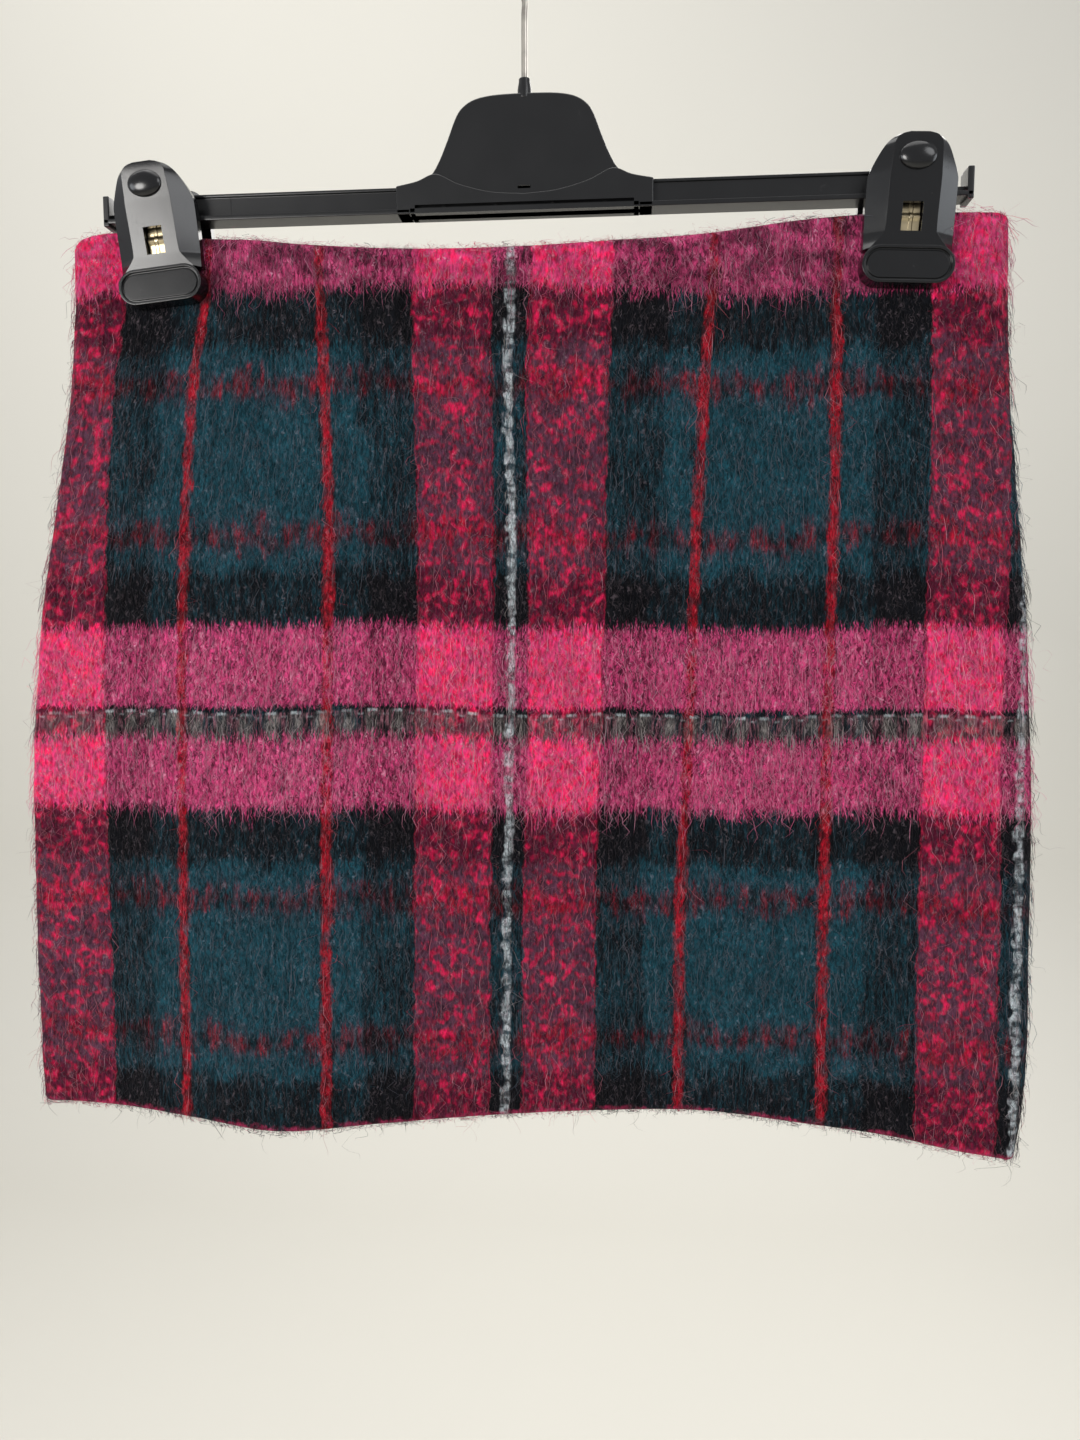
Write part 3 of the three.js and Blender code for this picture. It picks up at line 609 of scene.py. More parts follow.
def sample_grid(grid, count, draw, rows=(0.0, 1.0), columns=(0.0, 1.0)):
    """Places scattered evenly over part of a panel's outer face, with their directions and sett."""
    outer, sett = grid["outer"], grid["sett"]
    height, width = outer.shape[:2]
    r0, r1 = int(rows[0] * (height - 1)), int(rows[1] * (height - 1))
    c0, c1 = int(columns[0] * (width - 1)), int(columns[1] * (width - 1))
    part = outer[r0 : r1 + 1, c0 : c1 + 1]
    across, along = part[:-1, 1:] - part[:-1, :-1], part[1:, :-1] - part[:-1, :-1]
    area = np.linalg.norm(np.cross(across, along), axis=-1)
    picked = np.searchsorted(np.cumsum(area.ravel()) / area.sum(), draw.random(count))
    picked = np.minimum(picked, area.size - 1)
    r, c = np.divmod(picked, area.shape[1])
    fr, fc = draw.random(count)[:, None], draw.random(count)[:, None]
    r, c = r + r0, c + c0

    def at(values):
        upper = values[r, c] * (1 - fc) + values[r, c + 1] * fc
        lower = values[r + 1, c] * (1 - fc) + values[r + 1, c + 1] * fc
        return upper * (1 - fr) + lower * fr

    down = outer[r + 1, c] - outer[r, c]
    side = outer[r, c + 1] - outer[r, c]
    down /= np.linalg.norm(down, axis=1, keepdims=True)
    out = np.cross(side, down)
    out /= np.linalg.norm(out, axis=1, keepdims=True)
    wall = outer[r, c] - grid["inner"][r, c]
    out *= np.sign((out * wall).sum(1, keepdims=True))
    return {"root": at(outer), "down": down, "out": out, "sett": at(sett)}


def folded(across):
    """Distance from the nearest white line of the sett."""
    return np.abs((across + HALF_SETT) % (2 * HALF_SETT) - HALF_SETT)


def stripe_of(across):
    """Index of the sett's stripe at a distance from a white line."""
    ends = np.array([row["end"] for row in SETT])
    return np.minimum(np.searchsorted(ends, folded(across)), len(SETT) - 1)


def in_stripe(direction, yarn, at):
    """Which places lie in stripes of a yarn."""
    return np.array([row[direction] == yarn for row in SETT])[stripe_of(at)]


def white_tufts(sett):
    """How much of the white weft's fuzz lies at each place."""
    beat = np.abs((sett[:, 0] / FLOAT_PITCH) % 1 - 0.5)
    return smooth(0.38, 0.22, beat) * smooth(-TUFT_LENGTH, -5, sett[:, 1]) * smooth(1, 0, sett[:, 1])


def fibre_colours(sett, draw, least_pale, most_pale):
    """Dye of the yarn that each fibre was brushed out of, mixed with a pale tint of the tips that paints
    the fibres' sheen.
    """
    count = len(sett)
    yarns = {name: np.array(getattr(dyes(), name)) for name in YARNS}
    up = np.maximum(sett[:, 1] + draw.normal(0, 1.2, count), LOWEST_WEFT)
    warp_at = stripe_of(sett[:, 0])
    warps = np.array([yarns[row["warp"]] for row in SETT])[warp_at]
    wefts = np.array([yarns[row["weft"]] for row in SETT])[stripe_of(up)]
    shows = np.array([WARP_SHOWS[row["warp"]] for row in SETT])[warp_at]
    from_warp = draw.random(count) < shows * 0.75
    colours = np.where(from_warp[:, None], warps, wefts)
    over_dark = in_stripe("warp", "pink", sett[:, 0]) & ~in_stripe("weft", "rose", up)
    colours[over_dark & from_warp] = tuple(dyes().crimson)
    colours[over_dark & ~from_warp] = tuple(dyes().plum)
    off_line = folded(sett[:, 0])
    red = (np.abs(off_line - RED_LINE) < 2.0) & (draw.random(count) < 0.7)
    colours[red] = tuple(dyes().red)
    white = (off_line < 1.6) & (draw.random(count) < 0.45)
    colours[white] = tuple(dyes().ash)
    tufts = draw.random(count) < white_tufts(sett) * 0.85
    colours[tufts] = tuple(dyes().ash)
    # Painted sheen: a pale tint, most of it on the long curly fibres, stands for the mohair catching the
    # light.
    pale = np.array(dyes().fibre_tip_sheen) * np.sqrt(colours.max(1, keepdims=True))
    share = draw.uniform(least_pale, most_pale, count)[:, None]
    dim = 1 - 0.32 * smooth(172, 186, sett[:, 1])
    return (colours * (1 - share) + pale * share) * (draw.uniform(0.7, 1.25, count) * dim)[:, None]


NAP = table(
    "name panel rows short curly seed",
    ("nap_front_upper", 0, (0.0, 0.5), 13000, 11000, 11),
    ("nap_front_lower", 0, (0.5, 1.0), 13000, 11000, 12),
    ("nap_back_left", 1, (0.0, 1.0), 8000, 6000, 13),
    ("nap_back_right", 2, (0.0, 1.0), 8000, 6000, 14),
)


def scattered(row, count, draw, rows=(0.0, 1.0), columns=(0.0, 1.0)):
    """Places over part of a panel, clear of the clips' lips."""
    spots = sample_grid(grid_of(PANELS[row["panel"]]), count, draw, rows=rows, columns=columns)
    x, drop = spots["root"][:, 0] / MM, -spots["root"][:, 2] / MM
    return thinned(spots, pinch(x, drop) < 0.985)


def thinned(spots, keep):
    """Only those places that a test keeps."""
    return {key: value[keep] for key, value in spots.items()}


# Kinds of fibre, in millimetres. The nap's lifts and radii are shares of those in the settings
FIBRES = {
    row["kind"]: row
    for row in table(
        "kind lift sway slant radius curl rings",
        ("short", (0.3, 1.0), 1, 0.9, (0.6, 1.2), (0.7, 1.7), 1),
        ("curly", (0.6, 1.7), 1.9, 1.1, (0.5, 0.95), (1.6, 4.2), 3),
        ("edge", (-0.2, 1.1), 1.4, 1.0, (0.028, 0.055), (1.2, 3.2), 2),
        ("stray", (0.8, 2.2), 2.2, 1.2, (0.035, 0.06), (1.2, 3.2), 5),
    )
}


def fibre_shape(kind, length, draw):
    """Sizes of fibres of one kind, drawn between its limits for lengths that are drawn already."""
    row, count = FIBRES[kind], len(length)
    return {
        "length": length,
        "lift": draw.uniform(*row["lift"], count),
        "sway": draw.normal(0, row["sway"], count),
        "slant": draw.normal(0, row["slant"], count),
        "radius": draw.uniform(*row["radius"], count),
        "curl": draw.uniform(*row["curl"], count),
        "phase": draw.uniform(0, 2 * math.pi, count),
        "rings": row["rings"],
    }


def nap_shape(kind, length, spots, draw):
    """Sizes of nap fibres, few of them hanging past the hem."""
    shape = fibre_shape(kind, length * settings().nap_length / MM, draw)
    shape["lift"] *= settings().nap_lift / MM
    shape["radius"] *= settings().fibre_radius / MM
    past_hem = draw.gamma(1.5, 0.8, len(length))
    shape["length"] = np.minimum(shape["length"], spots["sett"][:, 2] + past_hem)
    return shape


def make_nap(row):
    """The brushed fibres of one panel, or of part of it: a short straight nap and longer curly hairs."""
    draw = np.random.default_rng(row["seed"])
    fibres = Fibres()
    for kind in ("short", "curly"):
        spots = scattered(row, row[kind], draw, rows=row["rows"])
        rose = in_stripe("weft", "rose", spots["sett"][:, 1])
        if kind == "short":
            wanted = np.where(rose, 0.2, 1.0)
        else:
            wanted = np.where(rose, 1.0, np.maximum(0.45, white_tufts(spots["sett"])))
        spots = thinned(spots, draw.random(len(wanted)) < wanted)
        pink = in_stripe("warp", "pink", spots["sett"][:, 0])
        if kind == "short":
            share = draw.uniform(0.5, 1.2, len(pink)) * np.where(pink, 0.4, 1.0)
            shape = nap_shape(kind, share, spots, draw)
            colours = fibre_colours(spots["sett"], draw, 0.0, 0.12)
        else:
            shape = nap_shape(kind, draw.uniform(0.7, 2.1, len(pink)), spots, draw)
            colours = fibre_colours(spots["sett"], draw, 0.15, 0.6)
        fibres.add(spots["root"], spots["down"], spots["out"], shape, colours)
    return fibres.piece(row["name"])


# Fuzz that stands out past the outline: part of which panel, and which way the fibres lean
FUZZ_SPOTS = table(
    "at rows down out length rose",
    ("waist", (0.0, 0.03), -1.0, 0.3, 2.4, 0.0),
    ("hem", (0.975, 1.0), 1.0, 0.1, 2.2, 0.4),
    ("fold", (0.02, 1.0), 0.8, 0.28, 2.2, 0.0),
)
FUZZ = table(
    "panel at columns count",
    (0, "waist", (0, 1), 1900),
    (0, "hem", (0, 1), 1500),
    (0, "fold", (0, 0.035), 1000),
    (0, "fold", (0.965, 1), 1000),
    (1, "waist", (0, 1), 700),
    (2, "waist", (0, 1), 700),
    (1, "hem", (0, 1), 700),
    (2, "hem", (0, 1), 700),
    (1, "fold", (0, 0.08), 700),
    (2, "fold", (0.92, 1), 700),
)


def leaning(spots, row, draw):
    """Directions for fibres that stand away from the cloth, each square to its own outward one."""
    side = np.cross(spots["down"], spots["out"])
    stray = side * draw.normal(0, 0.9, len(side))[:, None]
    aim = spots["down"] * row["down"] + spots["out"] * row["out"] + stray
    aim /= np.linalg.norm(aim, axis=1, keepdims=True)
    out = np.cross(side, aim)
    return aim, out / np.linalg.norm(out, axis=1, keepdims=True)


def make_fuzz():
    """The halo of fibres round the waist edge, the hem and the side folds."""
    draw = np.random.default_rng(21)
    fibres = Fibres()
    leans = {spot["at"]: spot for spot in FUZZ_SPOTS}
    for row in FUZZ:
        lean = leans[row["at"]]
        spots = scattered(row, row["count"], draw, rows=lean["rows"], columns=row["columns"])
        count = len(spots["root"])
        aim, out = leaning(spots, lean, draw)
        shape = fibre_shape("edge", draw.gamma(4, 0.25, count) * lean["length"], draw)
        sett = spots["sett"].copy()
        sett[draw.random(count) < lean["rose"], 1] = MIDDLE_OF_ROSE
        fibres.add(spots["root"], aim, out, shape, fibre_colours(sett, draw, 0.0, 0.3))
    return fibres.piece("edge_fuzz")


STRAY = table(
    "panel count",
    (0, 1700),
    (1, 650),
    (2, 650),
)


def make_stray_hairs():
    """Long loose curly hairs over the cloth and hanging from its edges."""
    draw = np.random.default_rng(31)
    fibres = Fibres()
    for row in STRAY:
        spots = scattered(row, row["count"], draw)
        aim, out = leaning(spots, {"down": 1.0, "out": 0.1}, draw)
        shape = fibre_shape("stray", draw.uniform(8, 17, len(aim)), draw)
        fibres.add(spots["root"], aim, out, shape, fibre_colours(spots["sett"], draw, 0.1, 0.55))
    return fibres.piece("stray_hairs")


# Shader maths
class Value:
    """One socket's value. Arithmetic on it adds Math nodes."""

    def __init__(self, bench, socket):
        self.bench, self.socket = bench, socket

    def maths(self, operation, *others):
        values = dict(enumerate((self, *others)))
        return self.bench.node("ShaderNodeMath", {"operation": operation}, values)

    def sibling(self, index):
        """Another output of the same node."""
        return Value(self.bench, self.socket.node.outputs[index])

    def __add__(self, other):
        return self.maths("ADD", other)

    def __mul__(self, other):
        return self.maths("MULTIPLY", other)

    def __sub__(self, other):
        return self.maths("SUBTRACT", other)

    def __rsub__(self, other):
        return self.bench.node("ShaderNodeMath", {"operation": "SUBTRACT"}, {0: other, 1: self})

    def __truediv__(self, other):
        return self.maths("DIVIDE", other)

    def size(self):
        return self.maths("ABSOLUTE")

    def part(self):
        return self.maths("FRACT")


class Bench:
    """One material and the nodes that make it."""

    def __init__(self, name):
        self.material = bpy.data.materials.new(name)
        self.material.use_nodes = True
        self.tree = self.material.node_tree
        self.shader = self.tree.nodes["Principled BSDF"]

    def node(self, kind, settings=(), values=(), out=0):
        """Adds a node with its settings, then its sockets' values or links, and returns an output."""
        made = self.tree.nodes.new(kind)
        for name, value in dict(settings).items():
            if name == "stops":
                self.set_stops(made.color_ramp, value)
            else:
                setattr(made, name, value)
        for socket, value in dict(values).items():
            self.set_socket(made.inputs[socket], value)
        return Value(self, made.outputs[out])

    def set_stops(self, ramp, stops):
        while len(ramp.elements) > 1:
            ramp.elements.remove(ramp.elements[-1])
        ramp.elements[0].position = stops[0][0]
        ramp.elements[0].color = stops[0][1]
        for position, colour in stops[1:]:
            ramp.elements.new(position).color = colour

    def set_socket(self, socket, value):
        if isinstance(value, Value):
            self.tree.links.new(value.socket, socket)
        elif hasattr(value, "__len__") and len(value) == 3 and socket.type == "RGBA":
            socket.default_value = (*value, 1)
        else:
            socket.default_value = value

    def place(self, across, along, seed):
        return self.node("ShaderNodeCombineXYZ", {}, {0: across, 1: along, 2: seed})

    def noise(self, place, scale=1.0, detail=2.0, roughness=0.5, distortion=0.0):
        values = {"Vector": place, "Scale": scale, "Detail": detail}
        values.update({"Roughness": roughness, "Distortion": distortion})
        return self.node("ShaderNodeTexNoise", {}, values)

    def ease(self, value, low, high, start=0.0, end=1.0):
        values = {0: value, 1: low, 2: high, 3: start, 4: end}
        return self.node("ShaderNodeMapRange", {"interpolation_type": "SMOOTHSTEP"}, values)

    def band(self, value, centre, half, soft):
        """1 inside a band, falling off softly at its edges."""
        return self.ease((value - centre).size(), half - soft, half + soft, 1.0, 0.0)

    def mix(self, share, first, second, blend="MIX"):
        settings = {"data_type": "RGBA", "blend_type": blend}
        return self.node("ShaderNodeMix", settings, {0: share, 6: first, 7: second}, out=2)

    def bump(self, height, strength, distance):
        values = {"Height": height, "Strength": strength, "Distance": distance}
        return self.node("ShaderNodeBump", {}, values)

    def finish(self, **sockets):
        """Sets the surface's sockets by name, with spaces written as underscores."""
        for name, value in sockets.items():
            self.set_socket(self.shader.inputs[name.replace("_", " ")], value)
        return self.material


def stripe_stops(direction, blur, dark_blur):
    """Stops of a ramp across half of the sett, with the warp's share of the surface as alpha."""
    stops, start, before = [], 0.0, 0.0
    for row, after in zip(SETT, SETT[1:] + SETT[-1:]):
        yarn = row[direction]
        dark = "black" in (yarn, after[direction]) and "teal" in (yarn, after[direction])
        beyond = dark_blur if dark else blur
        colour = (*getattr(dyes(), yarn), WARP_SHOWS.get(yarn, 1.0))
        stops.append(((start + before) / HALF_SETT, colour))
        stops.append(((row["end"] - beyond) / HALF_SETT, colour))
        start, before = row["end"], beyond
    return stops


class Tartan(Bench):
    """Brushed tartan, with the places, streaks and yarns that its layers share."""

    def __init__(self):
        super().__init__("brushed_tartan")
        sett = self.node("ShaderNodeAttribute", {"attribute_name": "sett"}, out=1)
        self.across = self.node("ShaderNodeSeparateXYZ", {}, {0: sett})
        self.up = self.across.sibling(1)
        self.above_hem = self.across.sibling(2)
        self.fine = self.streaks(1.5, 3.0, 7.7, detail=3)
        self.patch = self.streaks(9, 11, 21.4)
        wave = self.stray(2.4, 2.2, 41.7, 2.6, detail=1)
        brush = self.place((self.across + wave) / 0.62, self.up / 9, 4.1)
        self.drag = self.noise(brush, detail=1)

    def streaks(self, wide, long, seed, detail=2.0):
        """Noise from 0 to 1 in lumps of a width and a length in millimetres."""
        return self.noise(self.place(self.across / wide, self.up / long, seed), detail=detail)

    def stray(self, wide, long, seed, most, detail=2.0):
        """The same noise as a shift to either side."""
        return (self.streaks(wide, long, seed, detail) - 0.5) * most

    def folded(self, place):
        """A place in the sett, folded onto the half of the repeat that SETT lists."""
        return place.maths("PINGPONG", HALF_SETT)

    def stripes(self, direction, place, blur, dark_blur):
        """Colours of the yarns along a folded place."""
        stops = {"stops": stripe_stops(direction, blur, dark_blur)}
        return self.node("ShaderNodeValToRGB", stops, {0: place / HALF_SETT})

    def ground(self):
        """The woven stripes: soft wefts dragged downwards, with the warp's loops over them."""
        across, up = self.across, self.up
        jag = self.stray(2.4, 6, 1.3, 4.6)
        off_pink = 1 - self.band(self.folded(across), 24, 23, 6)
        self.line_fold = self.folded(across + jag)
        warp_fold = self.folded(across + jag + self.stray(6, 19, 91.3, 15) * off_pink)
        warp = self.stripes("warp", warp_fold, 0.7, 1.6)
        shows = warp.sibling(1)
        off_rose = 1 - self.band(self.folded(up), 24, 21, 6)
        uneven = self.stray(6, 12, 9.2, 4.5) + self.stray(1.6, 30, 44.3, 5)
        blotch = self.stray(15, 15, 71.3, 20) * off_rose
        fall = self.ease(self.drag, 0.34, 0.7) * 5.5 + uneven + blotch + self.band(up, 5.5, 3, 3) * 6
        self.weft_fold = self.folded((up + fall).maths("MAXIMUM", LOWEST_WEFT))
        self.bright = self.ease(shows, 0.46, 0.58)
        self.in_rose = self.band(self.weft_fold, 24, 16, 1.5)
        weft = self.red_row(self.stripes("weft", self.weft_fold, 1.0, 2.3))
        return self.weave(warp, weft, shows)

    def red_row(self, weft):
        """The red weft comes up in soft spots between dark warps, and all along over the pink ones."""
        row = self.band(self.weft_fold + self.stray(4, 30, 2.8, 7), RED_LINE, 4.8, 4.2)
        beat = (self.across / SPOT_PITCH + self.stray(9, 40, 6.6, 1.4)).part()
        spot = self.band(beat, 0.5, 0.2, 0.13)
        speckle = self.ease(self.streaks(2.8, 5.5, 11.8), 0.4, 0.66)
        over_dark = (1 - self.bright) * (spot * 0.4 + speckle * 0.5)
        weft = self.mix(self.bright * (1 - self.in_rose) * 0.55, weft, dyes().plum)
        yarn = self.mix(self.bright.maths("MAXIMUM", spot * 0.5), dyes().madder, dyes().red)
        return self.mix(row * (self.bright * speckle * 0.7 + over_dark), weft, yarn)

    def knots(self):
        """Knots of the warp, from 0 between them to 1 at their middles."""
        shift = self.stray(5, 5, 2.2, 1.5)
        place = self.place(self.across / 3.9 + shift, self.up / 4.5 + shift * 0.6, 0.7)
        kind = {"feature": "SMOOTH_F1", "voronoi_dimensions": "2D"}
        values = {"Vector": place, "Scale": 1.0, "Smoothness": 0.5, "Randomness": 0.9}
        return self.ease(self.node("ShaderNodeTexVoronoi", kind, values), 0.02, 0.56, 1.0, 0.0)

    def weave(self, warp, weft, shows):
        """Warp over weft: in flecks where the warp is bright, in long wisps where it is dark."""
        bright, in_rose = self.bright, self.in_rose
        knot, blob = self.knots(), self.streaks(3.2, 4.0, 26.8, detail=1.5)
        cloud = self.ease(self.streaks(26, 30, 57.9), 0.36, 0.62)
        loose = (self.fine - 0.5) * 0.5 + (self.patch - 0.5) * 0.8
        fleck = self.ease(blob, 0.38, 0.66) * 0.66 + knot * 0.3 + loose + in_rose * 0.17 - 0.15
        kept = (shows * 1.65 - 0.21) * (1 - in_rose * 0.35) + (1 - in_rose) * cloud * 0.2
        kept = kept + (self.patch - 0.5) * in_rose * 0.7
        wave = self.stray(4, 4, 95.5, 3.0, detail=1)
        wisps = self.noise(self.place((self.across + wave) / 0.85, self.up / 8.5, 5.5), detail=3)
        wisp = (wisps - 0.5) * 1.8 + kept
        share = self.node("ShaderNodeMix", {"data_type": "FLOAT"}, {0: bright, 2: wisp, 3: fleck})
        share = self.ease(share, 0.0, 0.95, bright * 0.1 + 0.04, 0.95)
        # Painted highlight: where lit is high, the middles of the warp's knots over dark wefts turn from
        # crimson towards pink, partly patchy tone.
        lit = self.ease(blob + (self.patch - 0.5) * 0.4 + (self.fine - 0.5) * 0.15, 0.5, 0.74) * 0.5
        deep = self.mix(lit.maths("MAXIMUM", in_rose), dyes().crimson, dyes().pink)
        self.height = (knot * 0.3 + blob * 0.7) * bright + self.fine * 0.5 + wisp * 0.5
        return self.mix(share, weft, self.mix(bright, warp, deep))

    def red_line(self, colour):
        """The red warp line: soft knots, one above the other."""
        knots = self.ease(self.streaks(4.5, 6.5, 23.1), 0.36, 0.58, 0.3, 0.95)
        line = self.band(self.line_fold + (self.fine - 0.5) * 1.6, RED_LINE, 2.2, 0.9)
        return self.mix(line * knots * 0.92, colour, dyes().red)

    def white_line(self, colour):
        """The white warp line: a thin slubby chain that wanders."""
        slub = self.streaks(3.0, 4.4, 27.3, detail=1)
        drift = self.stray(40, 21, 29.9, 2.6) + (slub - 0.5) * 1.8
        off_line = self.folded(self.across + drift) - self.ease(slub, 0.35, 0.65) * 1.3
        links = self.ease(self.streaks(7, 3.2, 33.7), 0.36, 0.56, 0.15, 1.0)
        chain = self.ease(off_line, 0.4, 1.7, 1.0, 0.0) * links
        yarn = self.mix(self.in_rose * 0.15 + (self.fine - 0.45) * 0.5, dyes().white, dyes().rose)
        return self.mix(chain * 0.9, colour, yarn)

    def white_row(self, colour):
        """The white weft: short floats in a broken line, each with a tuft of grey fuzz below."""
        sag = self.up + self.stray(30, 50, 8.4, 3.0)
        beat = (self.across / FLOAT_PITCH).part()
        frayed = sag + (self.drag - 0.5) * 1.6
        dash = self.band(beat, 0.5, 0.2, 0.05) * self.band(frayed, 0.1, 0.6, 0.4)
        low_dash = self.band((beat + 0.45).part(), 0.5, 0.12, 0.04) * self.band(frayed, -1.5, 0.4, 0.3)
        worn = self.ease(self.streaks(9, 9, 51.3), 0.34, 0.62, 0.35, 1.0)
        below = self.ease(sag + self.stray(5, 60, 47.2, 12), -TUFT_LENGTH - 3, -3)
        hang = below * self.ease(sag, 0.8, -0.4)
        tuft = self.band(beat + self.stray(2, 8, 12.5, 0.45), 0.5, 0.24, 0.2)
        haze = hang * tuft * self.ease(self.drag, 0.36, 0.62, 0.2, 0.9) * worn
        fuzz = self.ease(self.streaks(0.9, 7, 66.1), 0.42, 0.6) * hang * (1 - tuft)
        colour = self.mix(fuzz * 0.45, colour, self.mix(0.5, dyes().rose, dyes().ash))
        colour = self.mix(haze * (0.85 - self.bright * 0.45), colour, dyes().ash)
        floats = dash.maths("MAXIMUM", low_dash * 0.5) * worn
        return self.mix(floats * (0.9 - self.bright * 0.3), colour, dyes().white)

    def loose_fibres(self, colour):
        """Fine curly fibres on top, painted paler than the yarns as a painted sheen, with painted shade
        in the gaps between them.
        """
        loops = self.stray(2.2, 2.0, 61.9, 4.2, detail=1)
        curls = self.noise(self.place((self.across + loops) / 0.5, self.up / 4.4, 15.7), detail=2)
        hairs = self.ease(curls, 0.54, 0.68)
        self.height = self.height + hairs * 0.5
        # Painted sheen: the hairs are mixed towards the pale tint, as the mohair catches the light.
        tips = self.mix(0.45, colour, dyes().fibre_tip_sheen)
        colour = self.mix(hairs * (self.in_rose * 0.45 + 0.2), colour, tips)
        # Painted shade: off the pink warps, the gaps between the curls are darkened towards black.
        gaps = self.ease(curls, 0.52, 0.38) * (1 - self.bright)
        return self.mix(gaps * (self.in_rose * 0.15 + 0.6), colour, dyes().black)

    def edges(self, colour):
        """The turned waist is darker, in patches, and the edge of the hem shows the rose weft."""
        flat = self.ease(self.up, 172, 188) * self.ease(self.streaks(13, 9, 81.2), 0.4, 0.6, 0.1, 0.75)
        colour = self.mix(flat * (0.9 - self.bright * 0.5), colour, dyes().black)
        rim = self.ease(self.above_hem + self.stray(3, 3, 87.4, 6), 3.4, 1.0)
        yarn = self.mix(self.fine, dyes().rose, dyes().crimson)
        return self.mix(rim * self.ease(self.patch, 0.36, 0.52) * 0.6, colour, yarn)

    def hollows(self, colour):
        """Hollows between the tufts lie in shade."""
        gaps = self.ease(self.streaks(1.0, 2.8, 17.3, detail=3), 0.3, 0.62, 0.5, 1.15)
        hollow = self.ease(self.patch, 0.3, 0.7, 0.82, 1.1) * gaps
        shade = self.node("ShaderNodeCombineXYZ", {}, {0: hollow, 1: hollow, 2: hollow})
        return self.node("ShaderNodeVectorMath", {"operation": "MULTIPLY"}, {0: colour, 1: shade})


def cloth_finish():
    """The brushed tartan, layer by layer."""
    cloth = Tartan()
    colour = cloth.ground()
    for layer in ("red_line", "white_line", "white_row", "loose_fibres", "edges", "hollows"):
        colour = getattr(cloth, layer)(colour)
    return cloth.finish(
        Base_Color=colour,
        Roughness=0.95,
        Specular_IOR_Level=0.04,
        Sheen_Weight=0.05,
        Sheen_Roughness=0.5,
        Normal=cloth.bump(cloth.height, 0.8, 0.0014),
    )


def fibre_finish():
    """Mohair fibres in the dyes of the yarns that they come from."""
    bench = Bench("mohair_fibres")
    colour = bench.node("ShaderNodeAttribute", {"attribute_name": "dye"})
    return bench.finish(Base_Color=colour, Roughness=0.8, Specular_IOR_Level=0.1)


def plastic_finish(name, colour, roughness):
    """Moulded plastic with a fine mould grain, flow marks and small scuffs."""
    bench = Bench(name)
    place = bench.node("ShaderNodeTexCoord", out=3)
    cloud = bench.noise(place, scale=60, detail=4)
    marks = bench.noise(place, scale=300, detail=5, roughness=0.7, distortion=0.8)
    scuff = bench.ease(marks, 0.62, 0.74)
    tone = bench.mix(cloud * 0.5, colour, tuple(c * 1.7 for c in colour))
    grain = bench.noise(place, scale=2600, detail=2)
    return bench.finish(
        Base_Color=bench.mix(scuff * 0.2, tone, tuple(c * 3 + 0.01 for c in colour)),
        Roughness=cloud * 0.08 + scuff * 0.1 + (roughness - 0.04),
        Specular_IOR_Level=0.5,
        Normal=bench.bump(grain * 0.5 + cloud * 0.5, 0.04, 0.0002),
    )


def metal_finish(name, colour, roughness, along):
    """Drawn or rolled metal with fine lines along one axis."""
    bench = Bench(name)
    place = bench.node("ShaderNodeTexCoord", out=3)
    stretched = bench.node("ShaderNodeMapping", {}, {0: place, 3: along})
    lines = bench.noise(stretched, scale=900, detail=3)
    dull = bench.noise(place, scale=150, detail=4)
    tone = bench.mix(bench.ease(dull, 0.4, 0.75), colour, tuple(c * 0.62 for c in colour))
    return bench.finish(
        Base_Color=tone,
        Metallic=1.0,
        Roughness=lines * 0.18 + dull * 0.12 + (roughness - 0.12),
        Normal=bench.bump(lines, 0.15, 0.0001),
    )


# Hard pieces
def choose(*pieces):
    """Leaves only these pieces selected, the first of them active."""
    bpy.ops.object.select_all(action="DESELECT")
    for piece in pieces:
        piece.select_set(True)
    bpy.context.view_layer.objects.active = pieces[0]


def named(name):
    """Names the active object and its mesh."""
    piece = bpy.context.view_layer.objects.active
    piece.name = piece.data.name = name
    return piece


def face_normals_out(piece):
    """Merges doubled corners and turns all faces outwards."""
    choose(piece)
    bpy.ops.object.mode_set(mode="EDIT")
    bpy.ops.mesh.select_all(action="SELECT")
    bpy.ops.mesh.remove_doubles(threshold=0.000005)
    bpy.ops.mesh.normals_make_consistent(inside=False)
    bpy.ops.object.mode_set(mode="OBJECT")


def loft(name, sections):
    """A closed form through a row of sections, each a list of points in millimetres, by extruding."""
    sections = [np.asarray(section, float) * MM for section in sections]
    bpy.ops.object.select_all(action="DESELECT")
    bpy.ops.mesh.primitive_circle_add(vertices=len(sections[0]), radius=0.01, fill_type="NGON")
    piece = named(name)
    for corner, place in zip(piece.data.vertices, sections[0]):
        corner.co = place
    bpy.context.tool_settings.mesh_select_mode = (True, False, False)
    for before, section in zip(sections, sections[1:]):
        bpy.ops.object.mode_set(mode="EDIT")
        bpy.ops.mesh.extrude_region_move()
        bpy.ops.object.mode_set(mode="OBJECT")
        for corner in piece.data.vertices:
            if corner.select:
                corner.co = section[np.linalg.norm(before - np.array(corner.co), axis=1).argmin()]
    face_normals_out(piece)
    return piece


def choose_faces(piece, test):
    """Starts editing a piece with only those of its faces selected that pass a test."""
    choose(piece)
    for part in (*piece.data.vertices, *piece.data.edges):
        part.select = False
    for face in piece.data.polygons:
        face.select = test(face)
    bpy.context.tool_settings.mesh_select_mode = (False, False, True)
    bpy.ops.object.mode_set(mode="EDIT")


def plate(name, outline, y0, y1):
    """A plate of an outline in x and z, from one depth to another."""
    return loft(name, [[(x, y, z) for x, z in outline] for y in (y0, y1)])


def block(name, low, high):
    """A box between two corners in millimetres."""
    corners = [(low[0], low[2]), (high[0], low[2]), (high[0], high[2]), (low[0], high[2])]
    return plate(name, corners, low[1], high[1])


